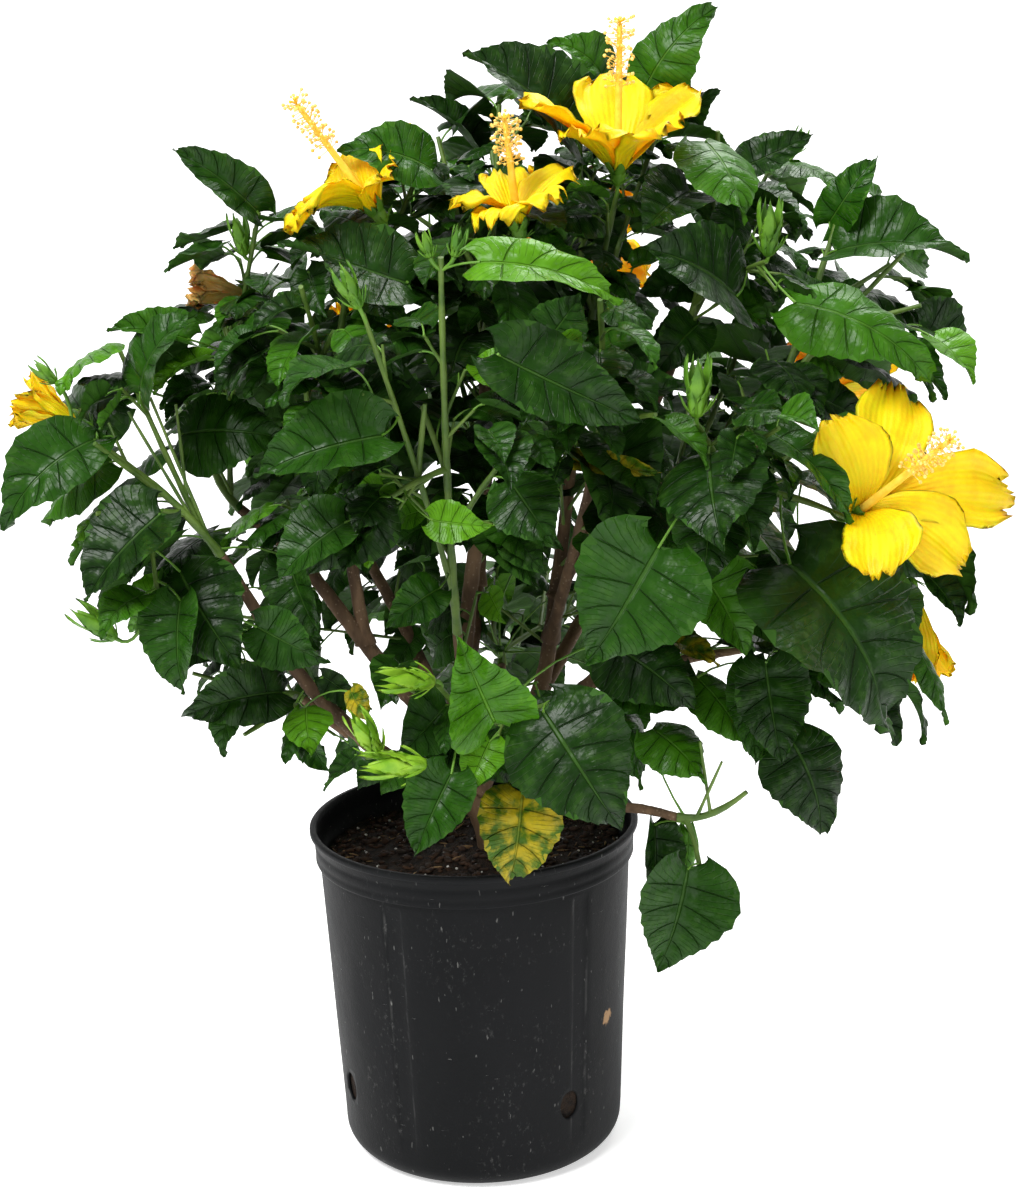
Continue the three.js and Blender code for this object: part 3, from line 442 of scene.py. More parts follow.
def pierced(lines, ovals, clearance):
    """Which lines (from, to) run through which flat ovals; the two broadcast."""
    start, end = lines[..., 0:3], lines[..., 3:6]
    centre, ahead, side, face = (ovals[..., i : i + 3] for i in (0, 3, 6, 9))
    before = ((start - centre) * face).sum(-1)
    after = ((end - centre) * face).sum(-1)
    apart = (before * after > 0) & (np.minimum(abs(before), abs(after)) > clearance)
    span = before - after
    level = abs(span) < 0.01
    share = np.where(level, 0.5, np.clip(before / np.where(level, 1, span), 0, 1))
    cut = start + (end - start) * share[..., None] - centre
    long = (cut * ahead).sum(-1) / ovals[..., 12]
    wide = (cut * side).sum(-1) / ovals[..., 13]
    return (np.hypot(long, wide) < 1.05) & ~apart


def stalk_bend(foot, end, way):
    """The curve of a stalk that leaves its shoot and ends at a place, along a way."""
    return Bend(foot, end - way * 0.4 * np.linalg.norm(end - foot), end)


def ring(centre, way, radius, sides, axis=None):
    first, second = across(way, axis)
    return centre + radius * around(even_turns(sides), first, second)


def bloom_rings(throat, start, way, petal, tilt, shown):
    """The outline of a bloom's solid, which leaves keep clear of."""
    first, second = across(way)
    angles = np.pi * np.arange(2 * PETALS) / PETALS
    out = around(angles, first, second)

    def lobes(share, lean, lift, notch):
        far = share * petal * np.where(np.arange(2 * PETALS) % 2, notch, 1)[:, None]
        aside = out * (far * np.sin(lean * tilt) + THROAT_RADIUS)
        return throat + way * (far * np.cos(lean * tilt) + lift) + aside

    rim = lobes(1, 1.1, 0, 0.7)
    column = throat + way * (COLUMN_SHARE * petal if shown else 2 * PETAL_LIFT)
    rings = [ring(start, way, COLUMN_RADIUS, 2 * PETALS), lobes(0, 1, 0, 1), lobes(0.6, 0.85, 0, 0.9), rim]
    rings += [lobes(share, lean, PETAL_LIFT, notch)
              for share, lean, notch in ((0.985, 1.1, 0.7), (0.58, 0.85, 0.9), (0.05, 1, 1))]
    rings.append(ring(column, way, COLUMN_RADIUS, 2 * PETALS) if shown else column[None])
    return rim, np.concatenate(rings)


class Shrub:
    """The whole plant in millimetres: limbs, shoots, leaves, blooms and buds, by the source's rule."""

    def __init__(self):
        self.limbs = {}
        self.shoots = {}
        self.twigs, self.fine_twigs = [], []
        self.leaves = []
        self.blooms = []
        self.buds = []
        self.spaces = {}
        self.lines = Rows(6)
        self.ovals = Rows(14)
        self.centres = Rows(3)
        self.shields = Rows(4)
        self.blossom = Rows(3)
        self.lay_limbs()
        for name, tips in MASSES.items():
            self.lay_shoots(name, np.array(tips, float))
        self.list_feet()
        for foot, axis, petal, opened in BLOOMS:
            self.place_bloom(np.array(foot, float), unit(np.array(axis, float)), petal, math.radians(opened))
        for foot, axis, length in BUDS:
            self.place_bud(np.array(foot, float), unit(np.array(axis, float)), length)
        for row in PLACED_LEAVES:
            self.place_leaf(np.array(row[:3], float), np.array(row[3:], float))
        self.shield_shown()
        self.own = {name: np.concatenate(rows) for name, rows in self.spaces.items()}
        self.others = {name: np.concatenate([rows for other, rows in self.own.items() if other != name])
                       for name in self.own}
        for index, name in enumerate(MASSES):
            self.grow(name, seeded(index + 1))
        for *row, wide, tone in MORE_LEAVES:
            self.place_leaf(np.array(row[:3], float), np.array(row[3:], float))
            self.leaves[-1].update(wide=wide, tone=tone)
        for name, i, share, tip in BARE_TWIGS:
            start = self.shoots[name][i].place(share)
            self.fine_twigs.append(self.shoot(start, unit(tip - start), np.array(tip, float)))
        for index, name in enumerate(MASSES):
            self.refine(name, seeded(index + 101))
        for index, name in enumerate(BOUGHS):
            self.refine_bough(name, seeded(index + 201))

    def lay_limbs(self):
        courses = {"trunk": (None, 0, TRUNK["radii"], TRUNK["course"]), **BOUGHS}
        for name, (parent, at, radii, course) in courses.items():
            foot = [self.limbs[parent][0].place(at)] if parent else []
            self.limbs[name] = (Spline([*foot, *course]), radii, parent)
        places, radii = [], []
        for name, (curve, _, _) in self.limbs.items():
            for share in shares_of(curve.length()):
                places.append(curve.place(share))
                radii.append(self.limb_radius(name, share))
        self.limb_places, self.limb_radii = np.array(places), np.array(radii)

    def limb_radius(self, name, share):
        curve, radii, parent = self.limbs[name]
        rise = 1 if parent else (curve.place(share)[2] - SOIL_LEVEL) / TRUNK_FLARE_HEIGHT
        return mix(radii, share) + TRUNK_FLARE * max(0, 1 - rise) ** 2

    def lay_shoots(self, name, tips):
        bough = self.limbs[name][0]
        way = bough.way(1)
        stem = self.shoot(bough.place(1) + way * GAP, way, tips[0])
        shoots = [stem]
        for i, tip in enumerate(tips[1:]):
            share = 0.12 + 0.2 * i
            foot = stem.place(share)
            shoots.append(self.shoot(foot, unit(unit(tip - foot) + 0.25 * stem.way(share)), tip))
        self.shoots[name] = shoots
        self.spaces[name] = [self.sampled(shoot) for shoot in shoots]

    def shoot(self, start, way, tip):
        return Jointed(Bend(start, start + way * 0.4 * np.linalg.norm(tip - start), tip))

    def sampled(self, shoot):
        places = np.array([shoot.place(share) for share in shares_of(shoot.span)])
        self.lines.add(np.hstack([places[:-1], places[1:]]))
        return places

    def list_feet(self):
        self.feet = [(name, shoot, share) for name, shoots in self.shoots.items() for shoot in shoots
                     for share in shares_of(shoot.span)[1:-1]]
        self.foot_places = np.array([shoot.place(share) for _, shoot, share in self.feet])
        self.foot_ways = np.array([shoot.way(share) for _, shoot, share in self.feet])

    def foot_of(self, place):
        """Where a stalk that ends at a place leaves the shoots: near it, and from behind it."""
        stalks = place - self.foot_places
        far = np.linalg.norm(stalks, axis=1)
        lean = (stalks * self.foot_ways).sum(1) / far
        return self.feet[int(np.argmin(far * (1.5 - 0.5 * lean)))]

    def place_bloom(self, start, way, petal, tilt):
        throat = start + way * CALYX
        rim, corners = bloom_rings(throat, start, way, petal, tilt, tilt > math.radians(COLUMN_SHOWS))
        self.lines.add(np.hstack([rim, np.roll(rim, -1, axis=0)]))
        for tip in rim[::2]:
            ahead = unit(tip - throat)
            side = unit(np.cross(ahead, way))
            centre = throat + (tip - throat) * 0.55
            wide = 0.4 * petal * math.sin(min(tilt, 1))
            self.ovals.add([*centre, *ahead, *side, *np.cross(side, ahead), 0.5 * petal, wide])
        name, shoot, share = self.foot_of(start)
        self.spaces[name].append(corners)
        self.blossom.add(corners)
        self.blooms.append({"start": start, "way": way, "petal": petal, "tilt": tilt,
                            "stalk": stalk_bend(shoot.bend.place(share), start, way)})

    def place_bud(self, start, way, length):
        name, shoot, share = self.foot_of(start)
        bend = stalk_bend(shoot.place(share), start, way)
        turn = np.cross(bend.way(0), bend.way(1))
        axis = unit(turn) if np.linalg.norm(turn) > 0.02 else across(bend.way(0))[0]
        corners = [ring(bend.place(at), bend.way(at), mix((0.5 * TWIG_RADIUS, TWIG_RADIUS), at), 4, axis)
                   for at in (0, 0.5, 0.95)]
        corners += [ring(start + way * at * length, way, wide * length, 4, axis)
                    for at, wide in ((0.28, 0.21), (0.65, 0.17))]
        corners = np.concatenate(corners)
        corners = corners[np.linalg.norm(corners - start, axis=1) < length]
        self.spaces[name].append(corners)
        self.blossom.add(corners)
        self.buds.append({"start": start, "way": way, "length": length,
                          "stalk": stalk_bend(shoot.bend.place(share), start, way)})

    def shape_of(self, root, base, tip, facing, width):
        """A blade's oval, and the lines round it, along it and down its petiole."""
        ahead, side, face = blade_axes(base, tip, facing)
        places = blade_places(base, tip, facing, width)
        right_low, left_low, right, left, right_high, left_high = places[3:]
        outline = np.array([base, right_low, right, right_high, tip, left_high, left, left_low])
        lines = np.hstack([outline, np.roll(outline, -1, axis=0)])
        extra = [[*(root + (base - root) * 0.35), *base], [*base, *tip], [*left, *right]]
        long = np.linalg.norm(tip - base) / 2
        oval = np.array([*(places[2] + face * LEAF_ARCH * long), *ahead, *side, *face, long, width / 2])
        return np.vstack([lines, extra]), oval, places

    def keep(self, lines, oval, centre):
        self.lines.add(lines)
        self.ovals.add(oval)
        self.centres.add(centre)

    def place_leaf(self, base, tip):
        facing = facing_of(base) + FRONT
        name, shoot, share = self.foot_of(base)
        length = np.linalg.norm(tip - base)
        lines, oval, places = self.shape_of(shoot.place(share), base, tip, facing, LEAF_SHAPE * length)
        self.spaces[name].append(places)
        centre = (base + tip) / 2
        self.keep(lines, oval, centre)
        self.shields.add([*centre, 0.42 * length])
        self.leaves.append({"root": shoot.bend.place(share), "base": base, "tip": tip, "facing": facing,
                            "kind": "placed", "share": share, "way": shoot.way(share)})

    def shield_shown(self):
        """Front shoots and blooms that no leaf of the rule may hide."""
        for name, shown in SHOWN_SHOOTS.items():
            for shoot in (self.shoots[name][i] for i in shown):
                self.shields.add([[*shoot.place(share), SHOWN_MARGIN] for share in shares_of(shoot.span)])
        for bloom in self.blooms[:SHOWN_BLOOMS]:
            centre = bloom["start"] + bloom["way"] * (CALYX + 0.5 * bloom["petal"])
            self.shields.add([*centre, 0.45 * bloom["petal"]])

    def has_room(self, name, places):
        own = distances(places, self.own[name]).min(1)
        others = distances(places, self.others[name]).min(1)
        if (others <= np.minimum(own + MARGIN, SHOOT_CLEARANCE)).any():
            return False
        return self.in_crown(places)

    def in_crown(self, places):
        limbs = distances(places, self.limb_places)
        low = places[:, 2] <= POT_HEIGHT + POT_CLEARANCE
        in_pot = np.hypot(places[:, 0], places[:, 1]) <= POT_RIM_RADIUS + POT_CLEARANCE
        reach = np.linalg.norm((places - CROWN_CENTRE) / CROWN_RADII, axis=1)
        floor = (CROWN_FLOOR + CROWN_FLOOR_RISE * np.maximum(0, -places[:, 1])
                 + CROWN_FLOOR_SIDE * np.maximum(0, CROWN_SIDE - places[:, 0]))
        in_opening = [(np.linalg.norm(np.cross(places - SIGHT, unit(place - SIGHT)), axis=1) < radius).any()
                      for place, radius in SIGHT_GAPS]
        return not ((limbs <= self.limb_radii + LIMB_CLEARANCE).any() or (low & in_pot).any()
                    or (reach >= 1).any() or (places[:, 2] <= floor).any() or any(in_opening))

    def hides(self, places):
        """Whether a place stands in front of a placed leaf."""
        shields = self.shields.all
        apart = np.linalg.norm(places[:, None, ::2] - shields[None, :, 0:3:2], axis=2)
        return ((places[:, None, 1] < shields[None, :, 1]) & (apart < shields[None, :, 3])).any()

    def grow(self, name, random):
        twigs = self.side_twigs(name, random)
        for i, shoot in enumerate(self.shoots[name]):
            self.leaves_along(name, shoot, random, FIRST_LEAF["shoot" if i else "stem"])
        for twig in twigs:
            self.leaves_along(name, twig, random, FIRST_LEAF["twig"])

    def side_twigs(self, name, random):
        twigs = []
        for parent in self.shoots[name][:2]:
            start, way = parent.place(SIDE_TWIG_SHARE), parent.way(SIDE_TWIG_SHARE)
            first, second = across(way)
            angle = 2 * math.pi * random()
            length = mix(SIDE_TWIG_LENGTH, random())
            way = unit(way + first * math.cos(angle) + second * math.sin(angle) + 0.6 * outward(start))
            tip = start + way * length
            if self.has_room(name, np.array([(start + tip) / 2, tip])):
                twig = self.shoot(start, way, tip)
                self.sampled(twig)
                twigs.append(twig)
        self.twigs += [(name, twig) for twig in twigs]
        return twigs

    def leaves_along(self, name, shoot, random, start):
        count = int(shoot.span / NODE_SPACING)
        turn = 360 * random()
        for i in range(count + 1):
            draws = [random() for _ in range(4)]
            turn += DIVERGENCE
            self.rule_leaf(name, shoot, turn, mix((start, LAST_LEAF), i / max(1, count)), draws)

    def rule_leaf(self, name, shoot, turn, share, draws, sizes=LEAF_LENGTH, fine=False):
        """One leaf of the seeded rule at a node of a shoot, or nothing where it has no room."""
        node, way = shoot.place(share), shoot.way(share)
        first, second = across(way)
        out = outward(node)
        low = 1 - min(1, max(0, (node[2] - SOIL_LEVEL) / 600))
        for trial in range(LEAF_TRIES):
            angle = math.radians(turn + LEAF_TURN * trial)
            shrink = LEAF_SHRINK**trial * (1 - 0.35 * share**2)
            length = mix(sizes, draws[0]) * shrink
            stalk = unit(first * math.cos(angle) + second * math.sin(angle) + 0.5 * way + 0.55 * out)
            base = node + stalk * mix(PETIOLE_LENGTH, draws[1]) * shrink
            heading = unit(np.array([stalk[0] + 0.3 * out[0], stalk[1] + 0.3 * out[1], 0.35 * stalk[2]]))
            heading = unit(heading + UP * mix(LEAF_DROOP, 0.35 * draws[2] + 0.65 * low))
            tip = base + heading * length
            if stalk @ heading < -0.2:
                continue
            facing = facing_of(base) + first * 1.2 * (draws[3] - 0.5)
            lines, oval, places = self.shape_of(node, base, tip, facing, LEAF_SHAPE * length)
            places = np.vstack([places, node + (base - node) * 0.6])
            centre = (base + tip) / 2
            spacing = FINE_SPACING if fine else LEAF_SPACING
            if distances(centre[None], self.centres.all).min() < spacing * length or self.hides(places):
                continue
            if distances(places, self.blossom.all).min() < BLOOM_CLEARANCE:
                continue
            if not (self.in_crown(places) if fine else self.has_room(name, places)):
                continue
            clearance = FINE_CLEARANCE if fine else BLADE_CLEARANCE
            if (pierced(self.lines.all, oval, clearance).any()
                    or pierced(lines[:, None], self.ovals.all[None], clearance).any()):
                continue
            self.keep(lines, oval, centre)
            self.leaves.append({"root": shoot.bend.place(share), "base": base, "tip": tip, "facing": facing,
                                "kind": "fine" if fine else "rule", "share": share, "way": way})
            return

    def refine(self, name, random):
        """Finer twigs and smaller leaves on every shoot of a mass, within the same reach."""
        for host in self.shoots[name] + [twig for owner, twig in self.twigs if owner == name]:
            count = int(host.span / FINE_STEP)
            turn = 360 * random()
            for i in range(count):
                draws = [random() for _ in range(7)]
                turn += DIVERGENCE
                share = mix((FINE_START, LAST_LEAF), (i + 0.5) / count)
                if draws[4] > FINE_TWIG_SHARE or not self.fine_twig(name, host, share, turn, draws):
                    self.rule_leaf(name, host, turn, share, draws, FINE_LENGTH, fine=True)

    def refine_bough(self, name, random):
        """Leafy spurs on the part of a bough that the crown hides."""
        bough = self.limbs[name][0]
        count = int(bough.length() * (1 - SPUR_START) / SPUR_STEP)
        turn = 360 * random()
        for i in range(count):
            draws = [random() for _ in range(7)]
            turn += DIVERGENCE
            share = mix((SPUR_START, 0.98), (i + draws[4]) / count)
            self.fine_twig(name, bough, share, turn, draws, SPUR_LENGTH)

    def fine_twig(self, name, parent, share, turn, draws, lengths=FINE_TWIG_LENGTH):
        """A thin twig with its leaves, kept only where both have room."""
        start, way = parent.place(share), parent.way(share)
        first, second = across(way)
        angle = 2 * math.pi * draws[5]
        way = unit(0.8 * way + first * math.cos(angle) + second * math.sin(angle) + 0.4 * outward(start))
        tip = start + way * mix(lengths, draws[6])
        line = np.array([*mix((start, tip), 0.3), *tip])
        if not self.in_crown(tip[None]) or pierced(line, self.ovals.all, FINE_CLEARANCE).any():
            return False
        twig = self.shoot(start, way, tip)
        count = len(self.leaves)
        for i, at in enumerate((LAST_LEAF, 0.7, 0.4)):
            self.rule_leaf(name, twig, turn + i * DIVERGENCE, at, draws, FINE_LENGTH, fine=True)
        if len(self.leaves) > count:
            self.sampled(twig)
            self.fine_twigs.append(twig)
        return len(self.leaves) > count


# ---------- shader and geometry recipes ----------
class Wire:
    """A number or vector in a node tree, on which sums are written as plain expressions."""

    def __init__(self, recipe, socket):
        self.recipe, self.socket = recipe, socket

    def sum(self, operation, *values):
        return self.recipe.node("ShaderNodeMath", {"operation": operation}, dict(enumerate(values)))

    def __add__(self, other):
        return self.sum("ADD", self, other)

    def __radd__(self, other):
        return self.sum("ADD", other, self)

    def __sub__(self, other):
        return self.sum("SUBTRACT", self, other)

    def __rsub__(self, other):
        return self.sum("SUBTRACT", other, self)

    def __mul__(self, other):
        return self.sum("MULTIPLY", self, other)

    def __rmul__(self, other):
        return self.sum("MULTIPLY", other, self)

    def __abs__(self):
        return self.sum("ABSOLUTE", self)

    def fraction(self):
        return self.sum("FRACT", self)

    def step(self, low, high, start=0.0, end=1.0):
        """From start to end, smoothly, as this number goes from low to high."""
        settings = {"interpolation_type": "SMOOTHSTEP"}
        values = {"Value": self, "From Min": low, "From Max": high, "To Min": start, "To Max": end}
        return self.recipe.node("ShaderNodeMapRange", settings, values)

    def split(self):
        node = self.recipe.add("ShaderNodeSeparateXYZ", {}, {0: self})
        return [Wire(self.recipe, socket) for socket in node.outputs]


class Recipe:
    """A node tree under construction, of a material or of Geometry Nodes."""

    def __init__(self, tree):
        self.tree = tree

    def add(self, kind, settings=None, values=None):
        node = self.tree.nodes.new(kind)
        for name, value in (settings or {}).items():
            setattr(node, name, value)
        for key, value in (values or {}).items():
            if isinstance(value, Wire):
                self.tree.links.new(value.socket, node.inputs[key])
            else:
                node.inputs[key].default_value = value
        return node

    def node(self, kind, settings=None, values=None, output=0):
        return Wire(self, self.add(kind, settings, values).outputs[output])


class Finish(Recipe):
    """A procedural material with one shader, whose fixed values stand on its own sockets."""

    def __init__(self, name, **fixed):
        self.material = bpy.data.materials.new(name)
        self.material.use_nodes = True
        super().__init__(self.material.node_tree)
        self.shader = self.tree.nodes["Principled BSDF"]
        for socket, value in fixed.items():
            self.shader.inputs[socket.replace("_", " ")].default_value = value
        self.place = self.node("ShaderNodeTexCoord", output=3)

    def feed(self, socket, value):
        self.tree.links.new(value.socket, self.shader.inputs[socket])

    def noise(self, size, detail=3.0, stretch=(1, 1, 1), roughness=0.55):
        """Noise whose features are about a size in metres, stretched along the axes."""
        place = self.node("ShaderNodeMapping", {}, {"Vector": self.place, "Scale": stretch})
        values = {"Vector": place, "Scale": 1 / size, "Detail": detail, "Roughness": roughness}
        return self.node("ShaderNodeTexNoise", {}, values)

    def cells(self, size, feature="F1"):
        values = {"Vector": self.place, "Scale": 1 / size}
        return self.node("ShaderNodeTexVoronoi", {"feature": feature}, values)

    def mark(self, name, output=1):
        """A piece's own attribute."""
        return self.node("ShaderNodeAttribute", {"attribute_name": name}, output=output)

    def blend(self, factor, low, high):
        values = {0: factor, 6: self.colour(low), 7: self.colour(high)}
        return self.node("ShaderNodeMix", {"data_type": "RGBA"}, values, output=2)

    def scaled(self, colour, factor):
        """A colour made darker or lighter by a number."""
        grey = self.node("ShaderNodeCombineXYZ", {}, {0: factor, 1: factor, 2: factor})
        settings = {"data_type": "RGBA", "blend_type": "MULTIPLY"}
        return self.node("ShaderNodeMix", settings, {0: 1.0, 6: self.colour(colour), 7: grey}, output=2)

    @staticmethod
    def colour(value):
        return value if isinstance(value, Wire) else (*value[:3], 1)

    def bump(self, height, distance):
        values = {"Height": height, "Distance": distance, "Strength": 1.0}
        self.feed("Normal", self.node("ShaderNodeBump", {}, values))


class Growth(Recipe):
    """A Geometry Nodes tree with named inputs, applied once to a piece."""

    def __init__(self, name, **inputs):
        tree = bpy.data.node_groups.new(name, "GeometryNodeTree")
        super().__init__(tree)
        tree.interface.new_socket("Geometry", in_out="INPUT", socket_type="NodeSocketGeometry")
        tree.interface.new_socket("Geometry", in_out="OUTPUT", socket_type="NodeSocketGeometry")
        self.values = {}
        for title, (kind, value) in inputs.items():
            socket = tree.interface.new_socket(title, in_out="INPUT", socket_type="NodeSocket" + kind)
            self.values[socket.identifier] = value
        entry = tree.nodes.new("NodeGroupInput")
        self.inputs = {socket.name: Wire(self, socket) for socket in entry.outputs if socket.name}
        self.exit = tree.nodes.new("NodeGroupOutput")

    def attribute(self, name, kind="FLOAT"):
        return self.node("GeometryNodeInputNamedAttribute", {"data_type": kind}, {"Name": name})

    def strewn(self, item, picked=None):
        """The item, or the picked one of several, on every point, turned and sized by the point."""
        values = {"Points": self.inputs["Geometry"], "Instance": item,
                  "Rotation": self.attribute("turn", "FLOAT_VECTOR"),
                  "Scale": self.attribute("size", "FLOAT_VECTOR")}
        if picked:
            values |= {"Pick Instance": True, "Instance Index": self.attribute(picked, "INT")}
        return self.node("GeometryNodeInstanceOnPoints", {}, values)

    def end(self, geometry, material, other=None, marked=None):
        """Realized, smooth and in its material, with another where a mark is set."""
        geometry = self.node("GeometryNodeRealizeInstances", {}, {0: geometry})
        geometry = self.node("GeometryNodeSetShadeSmooth", {}, {0: geometry})
        geometry = self.node("GeometryNodeSetMaterial", {}, {0: geometry, "Material": material})
        if marked:
            values = {0: geometry, "Selection": self.attribute(marked, "BOOLEAN"), "Material": other}
            geometry = self.node("GeometryNodeSetMaterial", {}, values)
        self.tree.links.new(geometry.socket, self.exit.inputs[0])
        return self

    def applied(self, base, name):
        """The tree's result on a base object, as a plain mesh object that takes its place."""
        modifier = base.modifiers.new("growth", "NODES")
        modifier.node_group = self.tree
        for identifier, value in self.values.items():
            modifier[identifier] = value
        return baked(base, name)


def baked(base, name):
    """The evaluated object as a plain mesh object at the origin; the base goes."""
    evaluated = base.evaluated_get(bpy.context.evaluated_depsgraph_get())
    mesh = bpy.data.meshes.new_from_object(evaluated)
    mesh.name = name
    bpy.data.objects.remove(base)
    return linked(name, mesh)


def linked(name, data):
    piece = bpy.data.objects.new(name, data)
    bpy.context.scene.collection.objects.link(piece)
    return piece


def add_mark(mesh, name, values, kind="FLOAT_VECTOR", domain="POINT"):
    """Gives a mesh a named attribute."""
    field = "vector" if kind == "FLOAT_VECTOR" else "value"
    mesh.attributes.new(name, kind, domain).data.foreach_set(field, np.ravel(values))


def bare_points(name, places, turns, sizes):
    """Points, placed in metres, each with the turn and size of what grows on it."""
    mesh = bpy.data.meshes.new(name)
    mesh.from_pydata([tuple(place) for place in places], [], [])
    add_mark(mesh, "turn", turns)
    add_mark(mesh, "size", sizes)
    return linked(name, mesh)


def quads(rows, columns):
    """The faces of a grid of places, row by row."""
    return [(a, a + 1, a + columns + 1, a + columns)
            for i in range(rows - 1) for a in range(i * columns, (i + 1) * columns - 1)]


def backs_of(rim):
    """The index of the place behind each one: along the rim it is the place itself."""
    return np.where(rim, np.arange(len(rim)), len(rim) + np.cumsum(~rim) - 1)


def flipped(faces, backs):
    """The faces behind a skin's own, turned the other way."""
    return [tuple(int(backs[k]) for k in face[::-1]) for face in faces]


def dressed(piece, replaced=(), finishes=()):
    """Gives the piece its finishes, rides it on the pot's body and hides the parts it replaces."""
    for finish in finishes:
        piece.data.materials.append(finish)
    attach(piece, BODY)
    if replaced:
        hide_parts(*replaced)
    return piece


class Skin:
    """Vertices in millimetres, faces and one vector mark a vertex, gathered part by part."""

    def __init__(self):
        self.vertices, self.faces, self.marks, self.count = [], [], [], 0

    def add(self, vertices, faces, marks=None):
        vertices = np.asarray(vertices, float)
        marks = np.zeros_like(vertices) if marks is None else marks
        self.vertices.append(vertices)
        self.marks.append(np.asarray(marks, float))
        self.faces += [tuple(int(i) + self.count for i in face) for face in faces]
        self.count += len(vertices)

    def loft(self, rings, marks=None):
        """A closed skin over rings of equal count; both ends are closed by a fan."""
        rings = np.asarray(rings, float)
        rows, count = rings.shape[:2]
        centres = rings[[0, -1]].mean(1)
        faces = []
        for i in range(rows - 1):
            for j in range(count):
                a, b = i * count + j, i * count + (j + 1) % count
                faces.append((a, b, b + count, a + count))
        low, high, last = rows * count, rows * count + 1, (rows - 1) * count
        for j in range(count):
            k = (j + 1) % count
            faces += [(low, k, j), (high, last + j, last + k)]
        if marks is not None:
            marks = np.asarray(marks, float)
            marks = np.concatenate([marks.reshape(-1, 3), marks[0].mean(0)[None], marks[-1].mean(0)[None]])
        self.add(np.concatenate([rings.reshape(-1, 3), centres]), faces, marks)

    def take(self, other):
        """Adds all of another skin."""
        self.add(np.concatenate(other.vertices), other.faces, np.concatenate(other.marks))

    def mesh(self, name, mark=None):
        mesh = bpy.data.meshes.new(name)
        mesh.from_pydata((np.concatenate(self.vertices) * MM).tolist(), [], self.faces)
        mesh.polygons.foreach_set("use_smooth", [True] * len(mesh.polygons))
        if mark:
            add_mark(mesh, mark, np.concatenate(self.marks))
        return mesh


def tube(skin, curve, radius_at, sides, step, relief=None):
    """A rod laid along a curve, its sections carried on without twist, closed at both ends."""
    length = curve.length()
    steps = max(2, math.ceil(length / step))
    side = across(curve.way(0))[0]
    angles = even_turns(sides)
    rings = []
    for i in range(steps + 1):
        share = i / steps
        way = curve.way(share)
        side = unit(side - way * (side @ way))
        radii = np.full(sides, radius_at(share))
        if relief:
            radii = radii + relief(angles, share * length)
        rings.append(curve.place(share) + around(angles, side, np.cross(way, side)) * radii[:, None])
    skin.loft(rings)


def course_curves(name, courses):
    """Many thin rods as one curve object: (places, radii) each, in millimetres."""
    data = bpy.data.curves.new(name, "CURVE")
    data.dimensions = "3D"
    for places, radii in courses:
        spline = data.splines.new("POLY")
        spline.points.add(len(places) - 1)
        corners = np.hstack([np.asarray(places) * MM, np.ones((len(places), 1))])
        spline.points.foreach_set("co", corners.ravel())
        spline.points.foreach_set("radius", np.asarray(radii, float) * MM)
    return linked(name, data)


def rods(name, courses, material, sides):
    """Every course as a round rod of its own thickness."""
    growth = Growth(name, Sides=("Int", sides))
    profile = growth.node("GeometryNodeCurvePrimitiveCircle", {"mode": "RADIUS"},
                          {"Resolution": growth.inputs["Sides"], "Radius": 1.0})
    values = {"Curve": growth.inputs["Geometry"], "Profile Curve": profile, "Fill Caps": True,
              "Scale": growth.node("GeometryNodeInputRadius")}
    growth.end(growth.node("GeometryNodeCurveToMesh", {}, values), material)
    return growth.applied(course_curves(name, courses), name)


# ---------- leaves ----------
# A leaf's proportions are shares of its length: the half width is given at places from foot to tip.
VEINS = 6
HALF_WIDTH = (
    (-0.13, -0.05, 0, 0.08, 0.18, 0.3, 0.42, 0.55, 0.68, 0.8, 0.9, 0.96, 1),
    (0.13, 0.27, 0.33, 0.39, 0.432, 0.445, 0.42, 0.355, 0.265, 0.165, 0.08, 0.035, 0),
)
BLADE_THICKNESS = 0.011
QUILT = 0.036
MIDRIB_SUNK, MIDRIB_WIDTH = 0.014, 0.16
TOOTH_OUT, TOOTH_WIDE = 0.011, 0.035
LOBE, NOTCH = 0.2, 0.13
TIP_DROP = 0.09


